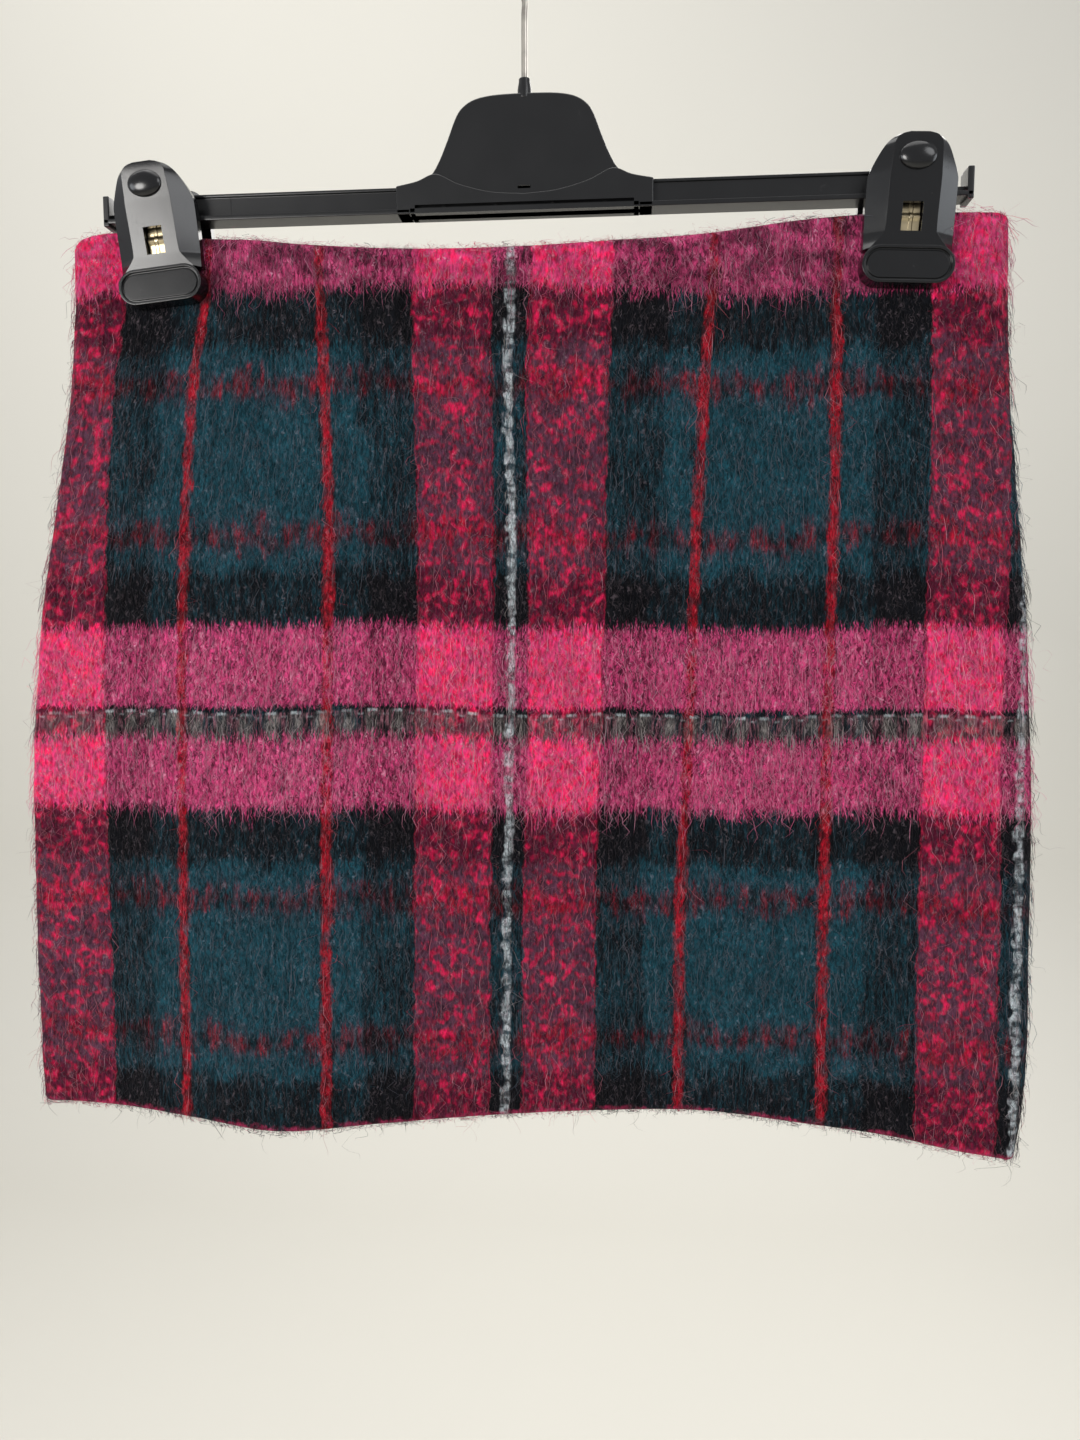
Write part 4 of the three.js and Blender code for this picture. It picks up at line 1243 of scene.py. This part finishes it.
def modify(piece, kind, **values):
    """Adds a modifier, sets it and applies it."""
    choose(piece)
    bpy.ops.object.modifier_add(type=kind)
    modifier = piece.modifiers[-1]
    for name, value in values.items():
        setattr(modifier, name, value)
    bpy.ops.object.modifier_apply(modifier=modifier.name)


def bevel(piece, width, segments=2, angle=30):
    """Rounds the sharp edges of a piece, by a width in millimetres."""
    limit = math.radians(angle)
    modify(piece, "BEVEL", width=width * MM, segments=segments, limit_method="ANGLE", angle_limit=limit)


def cut(piece, *tools):
    """Takes other pieces out of a piece."""
    for tool in tools:
        modify(piece, "BOOLEAN", operation="DIFFERENCE", object=tool, solver="EXACT")
        bpy.data.meshes.remove(tool.data)


def shade(piece):
    """Smooth shading on rounded edges, with the large faces kept flat."""
    choose(piece)
    bpy.ops.object.shade_smooth_by_angle(angle=math.radians(32))
    modify(piece, "WEIGHTED_NORMAL", keep_sharp=True, weight=80)


def join(name, *pieces):
    """Makes one shaded piece of several."""
    choose(*pieces)
    bpy.ops.object.join()
    piece = named(name)
    shade(piece)
    return piece


def placed_copy(piece, name, matrix):
    """A copy of a piece with its own mesh, moved in its mesh so that its object stays at the origin."""
    copy = piece.copy()
    copy.data = piece.data.copy()
    copy.name = copy.data.name = name
    copy.data.transform(matrix)
    bpy.context.scene.collection.objects.link(copy)
    return copy


def finer_copy(node, name, width):
    """A copy of a CAD node with its loose triangles merged and its sharp edges rounded."""
    copy = placed_copy(frame["nodes"][node], name, Matrix())
    face_normals_out(copy)
    choose(copy)
    bpy.ops.object.mode_set(mode="EDIT")
    bpy.ops.mesh.select_all(action="SELECT")
    bpy.ops.mesh.dissolve_limited(angle_limit=math.radians(1))
    bpy.ops.object.mode_set(mode="OBJECT")
    bevel(copy, width)
    shade(copy)
    return copy


def wear(piece, material, body="root", replaces=None):
    """Gives a piece its finish, its body and the node that it stands for."""
    piece.data.materials.clear()
    piece.data.materials.append(material)
    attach(piece, body)
    if replaces:
        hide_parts(replaces)


# Hanger, in drops below the bearing point
CROWN = 90.0
BAR = {"half": 182.5, "top": 126.5, "bottom": 138.0, "web": 2.2, "flange": 5.4, "flange_high": 2.0}
BAR_TOP_FLANGE = {"half": 3.2, "high": 1.3}
BAR_ROOT = 48.0
BAR_NOTCH = {"from": 173.5, "to": 180.0, "high": 7.0}
LUG = {"thick": 2.6, "foot": 1.2}
PLATE = {"half": 2.6, "reach": 54.0, "apron": 5.4}
PLATE_RECESS = {"half": 46.0, "top": 134.6, "floor": 141.0, "depth": 3.0}
PLATE_SLOT = {"width": 5.4, "high": 1.3, "drop": 128.3, "hollow": 1.7, "hollow_high": 4}
RIB = {"at": (12, 34), "half": 0.7, "from": 2.2, "to": 3.3}
MOULDING_LINE = {"from": -127.2, "to": -126.7, "proud": 0.14}
THROUGH = 9
BOSS = {"bottom": 2.9, "top": 2.4, "drop": 83.6}
PLATE_OUTLINE = table(
    "x drop",
    (0, 90),
    (13, 90.4),
    (21, 91.9),
    (26, 94.9),
    (29, 99.2),
    (32.5, 108),
    (36, 116),
    (39.6, 121.6),
    (45, 124.7),
    (54, 125.6),
)
LEDGE = table(
    "x drop",
    (0, 131.2),
    (14, 130),
    (27, 126.6),
    (37, 122.2),
    (45, 124.9),
    (54, 126.7),
)


def smoothed(rows, steps, along=None):
    """Columns of a table, smoothed through its rows and sampled evenly along them."""
    along = np.arange(len(rows)) if along is None else along
    chart = [{"at": at, **row} for at, row in zip(along, rows)]
    t = np.linspace(0, along[-1], steps)
    return [curve_of(chart, "at", name)(t) for name in rows[0]]


def mirrored_outline(chart, steps):
    """An outline in x and z, from left to right, smoothed through a chart of its right half."""
    x, drop = smoothed(chart, steps)
    right = list(zip(x, -drop))
    return [(-a, z) for a, z in right[:0:-1]] + right


def round_section(x, z, radius, across, sides=24):
    """A circle of points about a place in x and z, square to a wire of a given crosswise direction."""
    turns = np.linspace(0, 2 * math.pi, sides, endpoint=False)
    wide = radius * np.cos(turns)
    return np.column_stack([x + across[0] * wide, radius * np.sin(turns), z + across[1] * wide])


def round_post(radius, drop, sides=28):
    """A level circle of points at a drop."""
    turns = np.linspace(0, 2 * math.pi, sides, endpoint=False)
    return radius * np.cos(turns), radius * np.sin(turns), np.full(sides, -drop)


def make_hanger_frame():
    """Moulded bar with flanges, end lugs, a raised centre plate with its curved ledge, and the boss."""
    foot, top = -BAR["bottom"], -BAR["top"]
    reach = PLATE["reach"]
    feet = [(reach, foot), (-reach, foot)]
    thick, proud = PLATE["half"], PLATE["apron"]
    back = plate("plate", mirrored_outline(PLATE_OUTLINE, 34) + feet, -thick, thick)
    bevel(back, 0.7, 3, 50)
    apron = plate("apron", mirrored_outline(LEDGE, 26) + feet, -proud, proud)
    bevel(apron, 0.55, 3, 40)
    recess = PLATE_RECESS
    for side in (-1, 1):
        depth = sorted((side * (proud - recess["depth"]), side * THROUGH))
        low = (-recess["half"], depth[0], -recess["floor"])
        cut(apron, block("recess", low, (recess["half"], depth[1], -recess["top"])))
    slot, half = -PLATE_SLOT["drop"], PLATE_SLOT["width"] / 2
    low, high = (-half, -THROUGH, slot), (half, THROUGH, slot + PLATE_SLOT["high"])
    cut(apron, block("slot", low, high))
    hollow = PLATE_SLOT["hollow"]
    room = block("room", (-half, -hollow, slot), (half, hollow, slot + PLATE_SLOT["hollow_high"]))
    cut(back, block("slot", low, high), room)
    web, flange, thin = BAR["web"], BAR["flange"], BAR_TOP_FLANGE["half"]
    high, lip = foot + BAR["flange_high"], top - BAR_TOP_FLANGE["high"]
    corners = [(-flange, foot), (flange, foot), (flange, high), (web, high), (web, lip), (thin, lip)]
    corners += [(thin, top), (-thin, top), (-thin, lip), (-web, lip), (-web, high), (-flange, high)]
    parts = [back, apron, block("foot_flange", (-BAR_ROOT, -flange, foot), (BAR_ROOT, flange, high))]
    for side in (-1, 1):
        ends = (side * BAR_ROOT, side * BAR["half"])
        bar = loft("bar", [[(x, y, z) for y, z in corners] for x in ends])
        bevel(bar, 0.4, 2)
        parts.append(bar)
        notch = sorted((side * BAR_NOTCH["from"], side * BAR_NOTCH["to"]))
        low = (notch[0], -THROUGH, top - BAR_NOTCH["high"])
        cut(bar, block("notch", low, (notch[1], THROUGH, top + 1)))
        ends = sorted((side * (BAR["half"] - LUG["thick"]), side * BAR["half"]))
        lug = block("lug", (ends[0], -flange, foot - LUG["foot"]), (ends[1], flange, top))
        bevel(lug, 0.5, 3)
        parts.append(lug)
        depth = sorted((side * RIB["from"], side * RIB["to"]))
        for x in RIB["at"]:
            for place in (-x, x):
                low = (place - RIB["half"], depth[0], foot + 0.2)
                parts.append(block("rib", low, (place + RIB["half"], depth[1], 0.1 - recess["top"])))
    proud = web + MOULDING_LINE["proud"]
    low = (MOULDING_LINE["from"], -proud, high - 0.1)
    seam = block("moulding_line", low, (MOULDING_LINE["to"], proud, lip + 0.1))
    wide, narrow = BOSS["bottom"], BOSS["top"]
    rings = [(CROWN + 2, wide), (CROWN - 2, wide), (85, narrow), (BOSS["drop"], narrow)]
    boss = loft("boss", [np.column_stack(round_post(radius, drop)) for drop, radius in rings])
    bevel(boss, 0.5, 3)
    return join("moulded_frame", *parts, seam, boss)


HOOK_RADIUS = 20.0
WIRE_RADIUS = 1.3
HOOK_TIP_ANGLE = -25
HOOK_TURN_ANGLE = 205
HOOK_TURN_STEP = 23
HOOK_STEM = table(
    "x drop",
    (-13.2, 38.6),
    (-4.4, 45.2),
    (0, 52),
    (0, 58),
    (0, 71),
    (0, 84),
    (0, 97),
    (0, 109.7),
)


def hook_line(spacing):
    """Middle line of the hook: an open arc over the bearing point, an offset bend and a stem."""
    radius = HOOK_RADIUS + WIRE_RADIUS
    angles = np.radians(np.arange(HOOK_TIP_ANGLE, HOOK_TURN_ANGLE + 1, HOOK_TURN_STEP))
    arc = [(radius * math.cos(a), HOOK_RADIUS - radius * math.sin(a)) for a in angles]
    rows = table("x drop", *arc) + HOOK_STEM
    steps = [math.hypot(b["x"] - a["x"], b["drop"] - a["drop"]) for a, b in zip(rows, rows[1:])]
    lengths = np.append(0, np.cumsum(steps))
    return smoothed(rows, int(lengths[-1] / spacing), lengths)


def make_hook():
    """Round wire with its tip rounded off."""
    x, drop = hook_line(1.6)
    slope_x, slope_z = np.gradient(x), np.gradient(-drop)
    length = np.hypot(slope_x, slope_z)
    along = np.append(0, np.cumsum(np.hypot(np.diff(x), np.diff(drop))))
    from_end = np.minimum(along, along[-1] - along)
    radius = WIRE_RADIUS * np.sqrt(1 - (1 - np.clip((from_end + 0.05) / WIRE_RADIUS, 0, 1)) ** 2)
    across = zip(slope_z / length, -slope_x / length)
    wire = loft("bent_wire", [round_section(*place, 20) for place in zip(x, -drop, radius, across)])
    bpy.ops.object.shade_smooth_by_angle(angle=math.radians(40))
    return wire


# Clips, each jaw facing -Y in the clip's own frame
CLOTH_FACE = 5.85
JAW_SECTIONS = table(
    "z half panel face edge inside",
    (14, 4.6, 3.6, 18, 16.6, 14.2),
    (13, 8.6, 7, 18, 16, 13.8),
    (10.8, 11.8, 9, 17.8, 14.8, 12.6),
    (7, 14.4, 9.5, 17.3, 13, 10.4),
    (1, 17.2, 9.8, 16.5, 11, 7),
    (-3, 17.8, 10, 16, 10.2, 5.85),
    (-20, 17.7, 10, 14, 9.6, 5.85),
    (-23.5, 17.6, 11, 13.6, 9.6, 5.85),
    (-28.6, 17.6, 15.4, 13.1, 10.2, 5.85),
)
LIP = {"half": 18.2, "top": -27.6, "bottom": -42.2, "face": 14.6, "rim": 1.2, "recess": 1.1}
DOME = {"half": 7.4, "high": 5.4, "rise": 2.6, "z": 5.6, "seat": 16.9}
WINDOW = {"half": 4.0, "top": -11.2, "bottom": -22.0}
CAVITY = {"half": 4.0, "top": -7.3, "bottom": -22.4, "depth": 13.0}
SPRING = {"half": 3.6, "thick": 0.7}
SPRING_PATH = table(
    "out z",
    (0, -8.4),
    (8.4, -8.4),
    (10.6, -9.7),
    (11.3, -12.6),
    (11.3, -14.6),
    (12.2, -16.2),
    (11.3, -17.8),
    (10.9, -21.4),
)


def stadium(half, top, bottom, steps=14):
    """Outline in x and z of a bar with round ends."""
    radius, middle = (top - bottom) / 2, (top + bottom) / 2
    points = []
    for side in (-1, 1):
        for i in range(steps + 1):
            a = side * (math.pi / 2 - i / steps * math.pi)
            points.append((side * (half - radius + math.cos(a) * radius), middle + math.sin(a) * radius))
    return points


def make_jaw():
    """One jaw of a clip: a faceted lever with a raised dome, a rounded lip and the spring's window."""
    sections = []
    for z, half, panel, face, edge, inside in zip(*smoothed(JAW_SECTIONS, 29)):
        right = [(panel, face), (half, edge), (half, inside)]
        outline = [(-x, y) for x, y in right[::-1]] + right
        sections.append([(x, -y, z) for x, y in outline])
    lever = loft("lever", sections)
    room = (CAVITY["half"], -CLOTH_FACE + 1, CAVITY["top"])
    hole = (WINDOW["half"], -CLOTH_FACE + 1, WINDOW["top"])
    cut(
        lever,
        block("hole", (-WINDOW["half"], -20, WINDOW["bottom"]), hole),
        block("room", (-CAVITY["half"], -CAVITY["depth"], CAVITY["bottom"]), room),
    )
    bevel(lever, 0.45, 3, 20)
    lip = plate("lip", stadium(LIP["half"], LIP["top"], LIP["bottom"]), -LIP["face"], -CLOTH_FACE)
    choose_faces(lip, lambda face: face.center.y < (-LIP["face"] + 0.1) * MM)
    bpy.ops.mesh.inset(thickness=LIP["rim"] * MM, depth=0)
    bpy.ops.mesh.extrude_region_move(TRANSFORM_OT_translate={"value": (0, LIP["recess"] * MM, 0)})
    bpy.ops.mesh.inset(thickness=0.8 * MM, depth=0)
    bpy.ops.mesh.extrude_region_move(TRANSFORM_OT_translate={"value": (0, -0.5 * MM, 0)})
    bpy.ops.object.mode_set(mode="OBJECT")
    bevel(lip, 0.4, 3, 40)
    bpy.ops.object.select_all(action="DESELECT")
    place = (0, -DOME["seat"] * MM, DOME["z"] * MM)
    size = (DOME["half"] * MM, DOME["rise"] * MM, DOME["high"] * MM)
    bpy.ops.mesh.primitive_uv_sphere_add(segments=36, ring_count=18, location=place, scale=size)
    dome = named("dome")
    bpy.ops.object.transform_apply()
    return join("jaw", lever, lip, dome)


def make_spring():
    """The ribbed spring strip: under the bar and down into the window of each jaw."""
    out, z = smoothed(SPRING_PATH, 26)
    line = np.column_stack([np.append(-out[:0:-1], out), np.append(z[:0:-1], z)])
    along = np.gradient(line, axis=0)
    along /= np.linalg.norm(along, axis=1, keepdims=True)
    half, thick = SPRING["half"], SPRING["thick"] / 2
    profile = [(-half, thick), (-half, -thick), (half, -thick), (half, thick)]
    profile += [(0.9, thick), (0.5, thick + 0.3), (-0.5, thick + 0.3), (-0.9, thick)]
    sections = []
    for (y, up), (ty, tz) in zip(line, along):
        sections.append([(x, y - tz * n, up + ty * n) for x, n in profile])
    strip = loft("strip", sections)
    bevel(strip, 0.12, 1, 50)
    bpy.ops.object.shade_smooth_by_angle(angle=math.radians(35))
    return strip


def clip_place(row, turned=False):
    """Where a clip's own frame stands, turned round for its back jaw."""
    place = Matrix.Translation((row["x"] * MM, 0, -CLIP_DROP * MM))
    lean = Matrix.Rotation(math.radians(row["lean"]), 4, "Y")
    return place @ lean @ (Matrix.Rotation(math.pi, 4, "Z") if turned else Matrix())


# Zip in the centre back seam
ZIP = {"length": 180.0, "top_clear": 5.0, "pitch": 1.5, "tape_thick": 0.8}
SLIDER = {"below": 13.0, "clear": 5.6}


def repeated(piece, name, places):
    """One mesh of a small piece repeated at many places, which takes the piece's stead."""
    mesh = piece.data
    mesh.calc_loop_triangles()
    points = np.array([corner.co for corner in mesh.vertices])
    faces = np.array([triangle.vertices for triangle in mesh.loop_triangles])
    many = (points[None] + np.asarray(places)[:, None]).reshape(-1, 3)
    steps = np.arange(len(places))[:, None, None] * len(points)
    bpy.data.meshes.remove(mesh)
    return mesh_object(name, many, (faces[None] + steps).reshape(-1, 3), smooth_faces=False)


def make_zip_teeth():
    """The coil's teeth, side by side between the two tapes."""
    top = float(waist_drop(CENTRE_BACK))
    drops = np.arange(top + ZIP["top_clear"] + 2, top + ZIP["length"], ZIP["pitch"])
    drops = drops[np.abs(drops - top - SLIDER["below"]) > SLIDER["clear"]]
    places = []
    for drop in drops:
        wall = wall_at(turned_in(WAIST_TURNING, drop - top))
        inner = flat_depth("back", CENTRE_BACK, drop) + SEAM_GAP / 2 - wall
        depth = float(inner - SEAM_GAP - ZIP["tape_thick"] / 2)
        for side in (-1, 1):
            places.append((CENTRE_BACK + side * 0.72, depth, -drop - side * ZIP["pitch"] / 4))
    tooth = block("tooth", (-0.62, -0.5, -0.42), (0.62, 0.5, 0.42))
    bevel(tooth, 0.15, 1)
    return repeated(tooth, "zip_teeth", np.array(places) * MM)


# Studio
STAGE = {"half": 2.6, "wall": 1.7, "round": 0.5, "high": 3.6}
CAMERA = {"target": (0.0065, 0.0, -0.3525), "distance": 0.47, "azimuth": 5.0, "elevation": 5.5}
LENS = 26.625
LIGHTS = table(
    "at to size power colour",
    ((-0.95, -1.42, -0.2), (0, 0, -0.35), 0.74, 19, (1.0, 0.98, 0.95)),
    ((1.4, -1.3, 0.7), (0, 0, -0.35), 1.1, 11, (0.97, 0.98, 1.0)),
    ((0.1, -0.1, 1.1), (0, 0, -0.35), 1.4, 9, (1.0, 0.99, 0.97)),
    ((0.5, 1.3, 0.5), (0, 0, -0.35), 1.2, 14, (1.0, 0.98, 0.96)),
    ((-1.35, -0.75, -0.15), (0, 0, -0.2), 0.7, 4.5, (0.9, 0.95, 1.0)),
    ((1.6, -0.2, -0.15), (0, 0, -0.2), 1.0, 6, (0.9, 0.95, 1.0)),
    ((-0.8, 0.3, 1.5), (-0.4, 1.7, 0.5), 1.6, 18, (1.0, 0.99, 0.97)),
)


def aim(thing, target):
    """Turns a lamp or a camera towards a place."""
    thing.rotation_euler = (Vector(target) - thing.location).to_track_quat("-Z", "Y").to_euler()


def make_backdrop():
    """A pale floor that curves up into a wall."""
    floor, wall, r = -settings().floor_drop / MM, STAGE["wall"] / MM, STAGE["round"] / MM
    half = STAGE["half"] / MM
    turns = np.linspace(0, math.pi / 2, 13)
    line = [(-half, floor)] + [(wall - r + r * math.sin(a), floor + r - r * math.cos(a)) for a in turns]
    line.append((wall, STAGE["high"] / MM + floor))
    back = [(y + 12, z) if y > wall - r else (y, z - 12) for y, z in line[::-1]]
    outline = line + back
    sheet = loft("backdrop", [[(x, y, z) for y, z in outline] for x in (-half, half)])
    bpy.ops.object.shade_smooth_by_angle(angle=math.radians(30))
    return sheet


def make_lights():
    """Large soft lamps: two in front, one above, one behind, one at each side and one for the wall."""
    for row in LIGHTS:
        bpy.ops.object.light_add(type="AREA", location=row["at"])
        lamp = bpy.context.view_layer.objects.active
        lamp.data.shape, lamp.data.size = "DISK", row["size"]
        lamp.data.energy, lamp.data.color = row["power"], row["colour"]
        aim(lamp, row["to"])


def make_camera():
    """The photograph's view: near, a little above and to the right of the skirt's middle."""
    around, above = math.radians(CAMERA["azimuth"]), math.radians(CAMERA["elevation"])
    level = math.cos(above)
    back = Vector((math.sin(around) * level, -math.cos(around) * level, math.sin(above)))
    target = Vector(CAMERA["target"])
    bpy.ops.object.camera_add(location=target + back * CAMERA["distance"])
    camera = bpy.context.view_layer.objects.active
    camera.name = "camera"
    camera.data.lens, camera.data.sensor_width = LENS, 36
    camera.data.clip_start, camera.data.clip_end = 0.01, 20
    aim(camera, target)
    bpy.context.scene.camera = camera


def light_the_world():
    """Even light from all round."""
    world = bpy.data.worlds.new("studio_air")
    bpy.context.scene.world = world
    world.use_nodes = True
    air = world.node_tree.nodes["Background"]
    air.inputs["Color"].default_value = (*settings_of_studio().air, 1)
    air.inputs["Strength"].default_value = settings_of_studio().air_strength


def plain_finish(name, colour, roughness):
    """A matt studio surface with a trace of unevenness."""
    bench = Bench(name)
    place = bench.node("ShaderNodeTexCoord", out=3)
    cloud = bench.noise(place, scale=3, detail=2)
    return bench.finish(
        Base_Color=bench.mix(cloud * 0.3, colour, tuple(c * 0.94 for c in colour)), Roughness=roughness
    )


def tape_finish(colour):
    """Woven zip tape: fine ribs across its length."""
    bench = Bench("woven_tape")
    across = bench.node("ShaderNodeSeparateXYZ", {}, {0: bench.node("ShaderNodeTexCoord", out=3)})
    rib = (across.sibling(2) * 9000).maths("SINE") * (across * 7000).maths("SINE")
    light = bench.ease(rib, -0.4, 0.9)
    return bench.finish(
        Base_Color=bench.mix(light, colour, tuple(c * 2.2 for c in colour)),
        Roughness=0.85,
        Normal=bench.bump(rib, 0.3, 0.0002),
    )


# Settings
def length(name, description, default):
    limits = {"min": 0.00001, "unit": "LENGTH", "subtype": "DISTANCE"}
    return bpy.props.FloatProperty(name=name, description=description, default=default, **limits)


def colour(name, description, red, green, blue):
    limits = {"size": 3, "min": 0, "max": 1, "subtype": "COLOR"}
    shade = dye(red, green, blue)
    return bpy.props.FloatVectorProperty(name=name, description=description, default=shade, **limits)


class SkirtSettings(bpy.types.PropertyGroup):
    """Sizes that a maker would change."""

    cloth_wall: length("Cloth", "Thickness of one layer of the brushed cloth", 0.003)
    turned_wall: length("Turnings", "Thickness of cloth and its turning, pressed together", 0.0048)
    nap_length: length("Nap length", "Length of a usual brushed fibre", 0.008)
    nap_lift: length("Nap lift", "How far a usual fibre stands off the cloth", 0.0014)
    fibre_radius: length("Fibre radius", "Half the thickness of a tuft of fibres", 0.00012)
    floor_drop: length("Floor", "How far the studio floor lies below the hook", 1.3)


class SkirtDyes(bpy.types.PropertyGroup):
    """Colours of the yarns, and the pale tint of the fibres' tips that paints their sheen."""

    white: colour("White", "Undyed yarn of the overcheck", 186, 196, 200)
    black: colour("Black", "Yarn of the dark stripes", 15, 16, 20)
    # The pink also lightens the middles of the warp's knots over dark wefts, as painted highlights.
    pink: colour("Pink", "Warp of the broad stripes where it crosses the rose weft", 232, 32, 88)
    crimson: colour("Crimson", "Warp of the broad stripes where it crosses a dark weft", 164, 20, 56)
    rose: colour("Rose", "Weft of the broad bands", 206, 66, 120)
    teal: colour("Teal", "Yarn of the stripes beside the red lines", 26, 68, 80)
    red: colour("Red", "Warp of the narrow lines", 178, 18, 40)
    plum: colour("Plum", "Dark weft between the pink warps", 66, 24, 50)
    madder: colour("Madder", "Weft of the narrow lines", 126, 34, 52)
    ash: colour("Ash", "Fuzz that hangs from the white weft", 158, 150, 146)
    # Painted sheen: this pale tint is mixed into the fibre meshes and into the hairs drawn on the cloth.
    fibre_tip_sheen: colour("Fibre tips", "Pale tips of the longest fibres", 220, 196, 208)


class SkirtStudio(bpy.types.PropertyGroup):
    """Colours of the hard parts and of the studio."""

    plastic: colour("Hanger plastic", "Moulded plastic of the hanger and its clips", 11, 11, 12)
    steel: colour("Hook wire", "Plated steel wire", 190, 184, 174)
    brass: colour("Springs", "Warm plating of the spring strips", 198, 182, 148)
    enamel: colour("Zip enamel", "Black enamel of the zip's metal", 26, 26, 29)
    tape: colour("Zip tape", "Woven tape", 22, 22, 26)
    backdrop: colour("Backdrop", "Painted floor and wall", 213, 210, 201)
    air: colour("Air", "Light from all round", 232, 234, 238)
    air_strength: bpy.props.FloatProperty(
        name="Air strength",
        description="Strength of the light from all round",
        default=0.55,
        min=0,
        max=10,
    )


def settings_of_studio():
    return bpy.context.scene.skirt_studio


class SKIRT_OT_cloth(bpy.types.Operator):
    """Make the front and the two halves of the back"""

    bl_idname = "skirt.cloth"
    bl_label = "Cloth panels"

    def execute(self, context):
        tartan = cloth_finish()
        for row in PANELS:
            wear(make_panel(row), tartan, replaces=row["node"])
        return {"FINISHED"}


class SKIRT_OT_nap(bpy.types.Operator):
    """Brush up the nap of each panel"""

    bl_idname = "skirt.nap"
    bl_label = "Nap"

    def execute(self, context):
        mohair = fibre_finish()
        for row in NAP:
            wear(make_nap(row), mohair)
        wear(make_fuzz(), mohair)
        wear(make_stray_hairs(), mohair)
        for panel in PANELS:
            naps = [bpy.data.objects[row["name"]] for row in NAP if PANELS[row["panel"]] is panel]
            if panel["layer"] == "front":
                naps += [bpy.data.objects["edge_fuzz"], bpy.data.objects["stray_hairs"]]
        return {"FINISHED"}


class SKIRT_OT_zip(bpy.types.Operator):
    """Make the zip's teeth, slider and pull tab, and finish its tapes"""

    bl_idname = "skirt.zip"
    bl_label = "Zip"

    def execute(self, context):
        enamel = metal_finish("black_enamel", settings_of_studio().enamel, 0.34, (1, 1, 1))
        tape = tape_finish(settings_of_studio().tape)
        for side in ("left", "right"):
            frame["nodes"][f"zip_tape_{side}"].material_slots[0].material = tape
        wear(make_zip_teeth(), enamel)
        wear(finer_copy("zip_slider", "slider_body", 0.3), enamel, replaces="zip_slider")
        tab = finer_copy("zip_pull_tab", "slider_tab", 0.25)
        wear(tab, enamel, body="pull_tab", replaces="zip_pull_tab")
        return {"FINISHED"}


class SKIRT_OT_hanger(bpy.types.Operator):
    """Make the moulded bar and centre plate"""

    bl_idname = "skirt.hanger"
    bl_label = "Hanger frame"

    def execute(self, context):
        plastic = plastic_finish("satin_plastic", settings_of_studio().plastic, 0.3)
        wear(make_hanger_frame(), plastic, replaces="hanger_frame")
        return {"FINISHED"}


class SKIRT_OT_hook(bpy.types.Operator):
    """Bend the wire hook"""

    bl_idname = "skirt.hook"
    bl_label = "Wire hook"

    def execute(self, context):
        wire = metal_finish("drawn_wire", settings_of_studio().steel, 0.34, (1, 1, 0.05))
        wear(make_hook(), wire, replaces="wire_hook")
        return {"FINISHED"}


class SKIRT_OT_clips(bpy.types.Operator):
    """Make one jaw and one spring, and set copies of them in both clips"""

    bl_idname = "skirt.clips"
    bl_label = "Clips"

    def execute(self, context):
        plastic = plastic_finish("glossy_plastic", settings_of_studio().plastic, 0.2)
        brass = metal_finish("warm_spring", settings_of_studio().brass, 0.3, (1, 0.1, 0.1))
        jaw, spring = make_jaw(), make_spring()
        for row in CLIPS:
            side = row["side"]
            for face, turned in (("front", False), ("back", True)):
                copy = placed_copy(jaw, f"{side}_{face}_jaw", clip_place(row, turned))
                wear(copy, plastic, replaces=f"clip_{side}_{face}_jaw")
            copy = placed_copy(spring, f"{side}_spring", clip_place(row))
            wear(copy, brass, replaces=f"clip_{side}_spring")
        bpy.data.meshes.remove(jaw.data)
        bpy.data.meshes.remove(spring.data)
        return {"FINISHED"}


class SKIRT_OT_studio(bpy.types.Operator):
    """Set up the backdrop, the lights and the camera"""

    bl_idname = "skirt.studio"
    bl_label = "Studio"

    def execute(self, context):
        backdrop = make_backdrop()
        backdrop.data.materials.clear()
        backdrop.data.materials.append(plain_finish("matt_paint", settings_of_studio().backdrop, 0.9))
        make_lights()
        light_the_world()
        make_camera()
        context.scene.view_settings.view_transform = "Standard"
        return {"FINISHED"}


STEPS = (
    SKIRT_OT_cloth,
    SKIRT_OT_nap,
    SKIRT_OT_zip,
    SKIRT_OT_hanger,
    SKIRT_OT_hook,
    SKIRT_OT_clips,
    SKIRT_OT_studio,
)


class SKIRT_PT_sidebar(bpy.types.Panel):
    """The skirt's sizes, colours and steps"""

    bl_idname = "SKIRT_PT_sidebar"
    bl_label = "Tartan skirt"
    bl_space_type = "VIEW_3D"
    bl_region_type = "UI"
    bl_category = "Skirt"

    def draw(self, context):
        scene = context.scene
        for group in (scene.skirt_settings, scene.skirt_dyes, scene.skirt_studio):
            box = self.layout.box()
            for name in group.__annotations__:
                box.prop(group, name)
        for step in STEPS:
            self.layout.operator(step.bl_idname)


GROUPS = {"skirt_settings": SkirtSettings, "skirt_dyes": SkirtDyes, "skirt_studio": SkirtStudio}


def register():
    for name, group in GROUPS.items():
        bpy.utils.register_class(group)
        setattr(bpy.types.Scene, name, bpy.props.PointerProperty(type=group))
    for made in (*STEPS, SKIRT_PT_sidebar):
        bpy.utils.register_class(made)


def unregister():
    for made in (SKIRT_PT_sidebar, *reversed(STEPS)):
        bpy.utils.unregister_class(made)
    for name, group in GROUPS.items():
        delattr(bpy.types.Scene, name)
        bpy.utils.unregister_class(group)


def main():
    register()
    bpy.ops.skirt.cloth()
    bpy.ops.skirt.nap()
    bpy.ops.skirt.zip()
    bpy.ops.skirt.hanger()
    bpy.ops.skirt.hook()
    bpy.ops.skirt.clips()
    bpy.ops.skirt.studio()


if __name__ == "__main__":
    main()
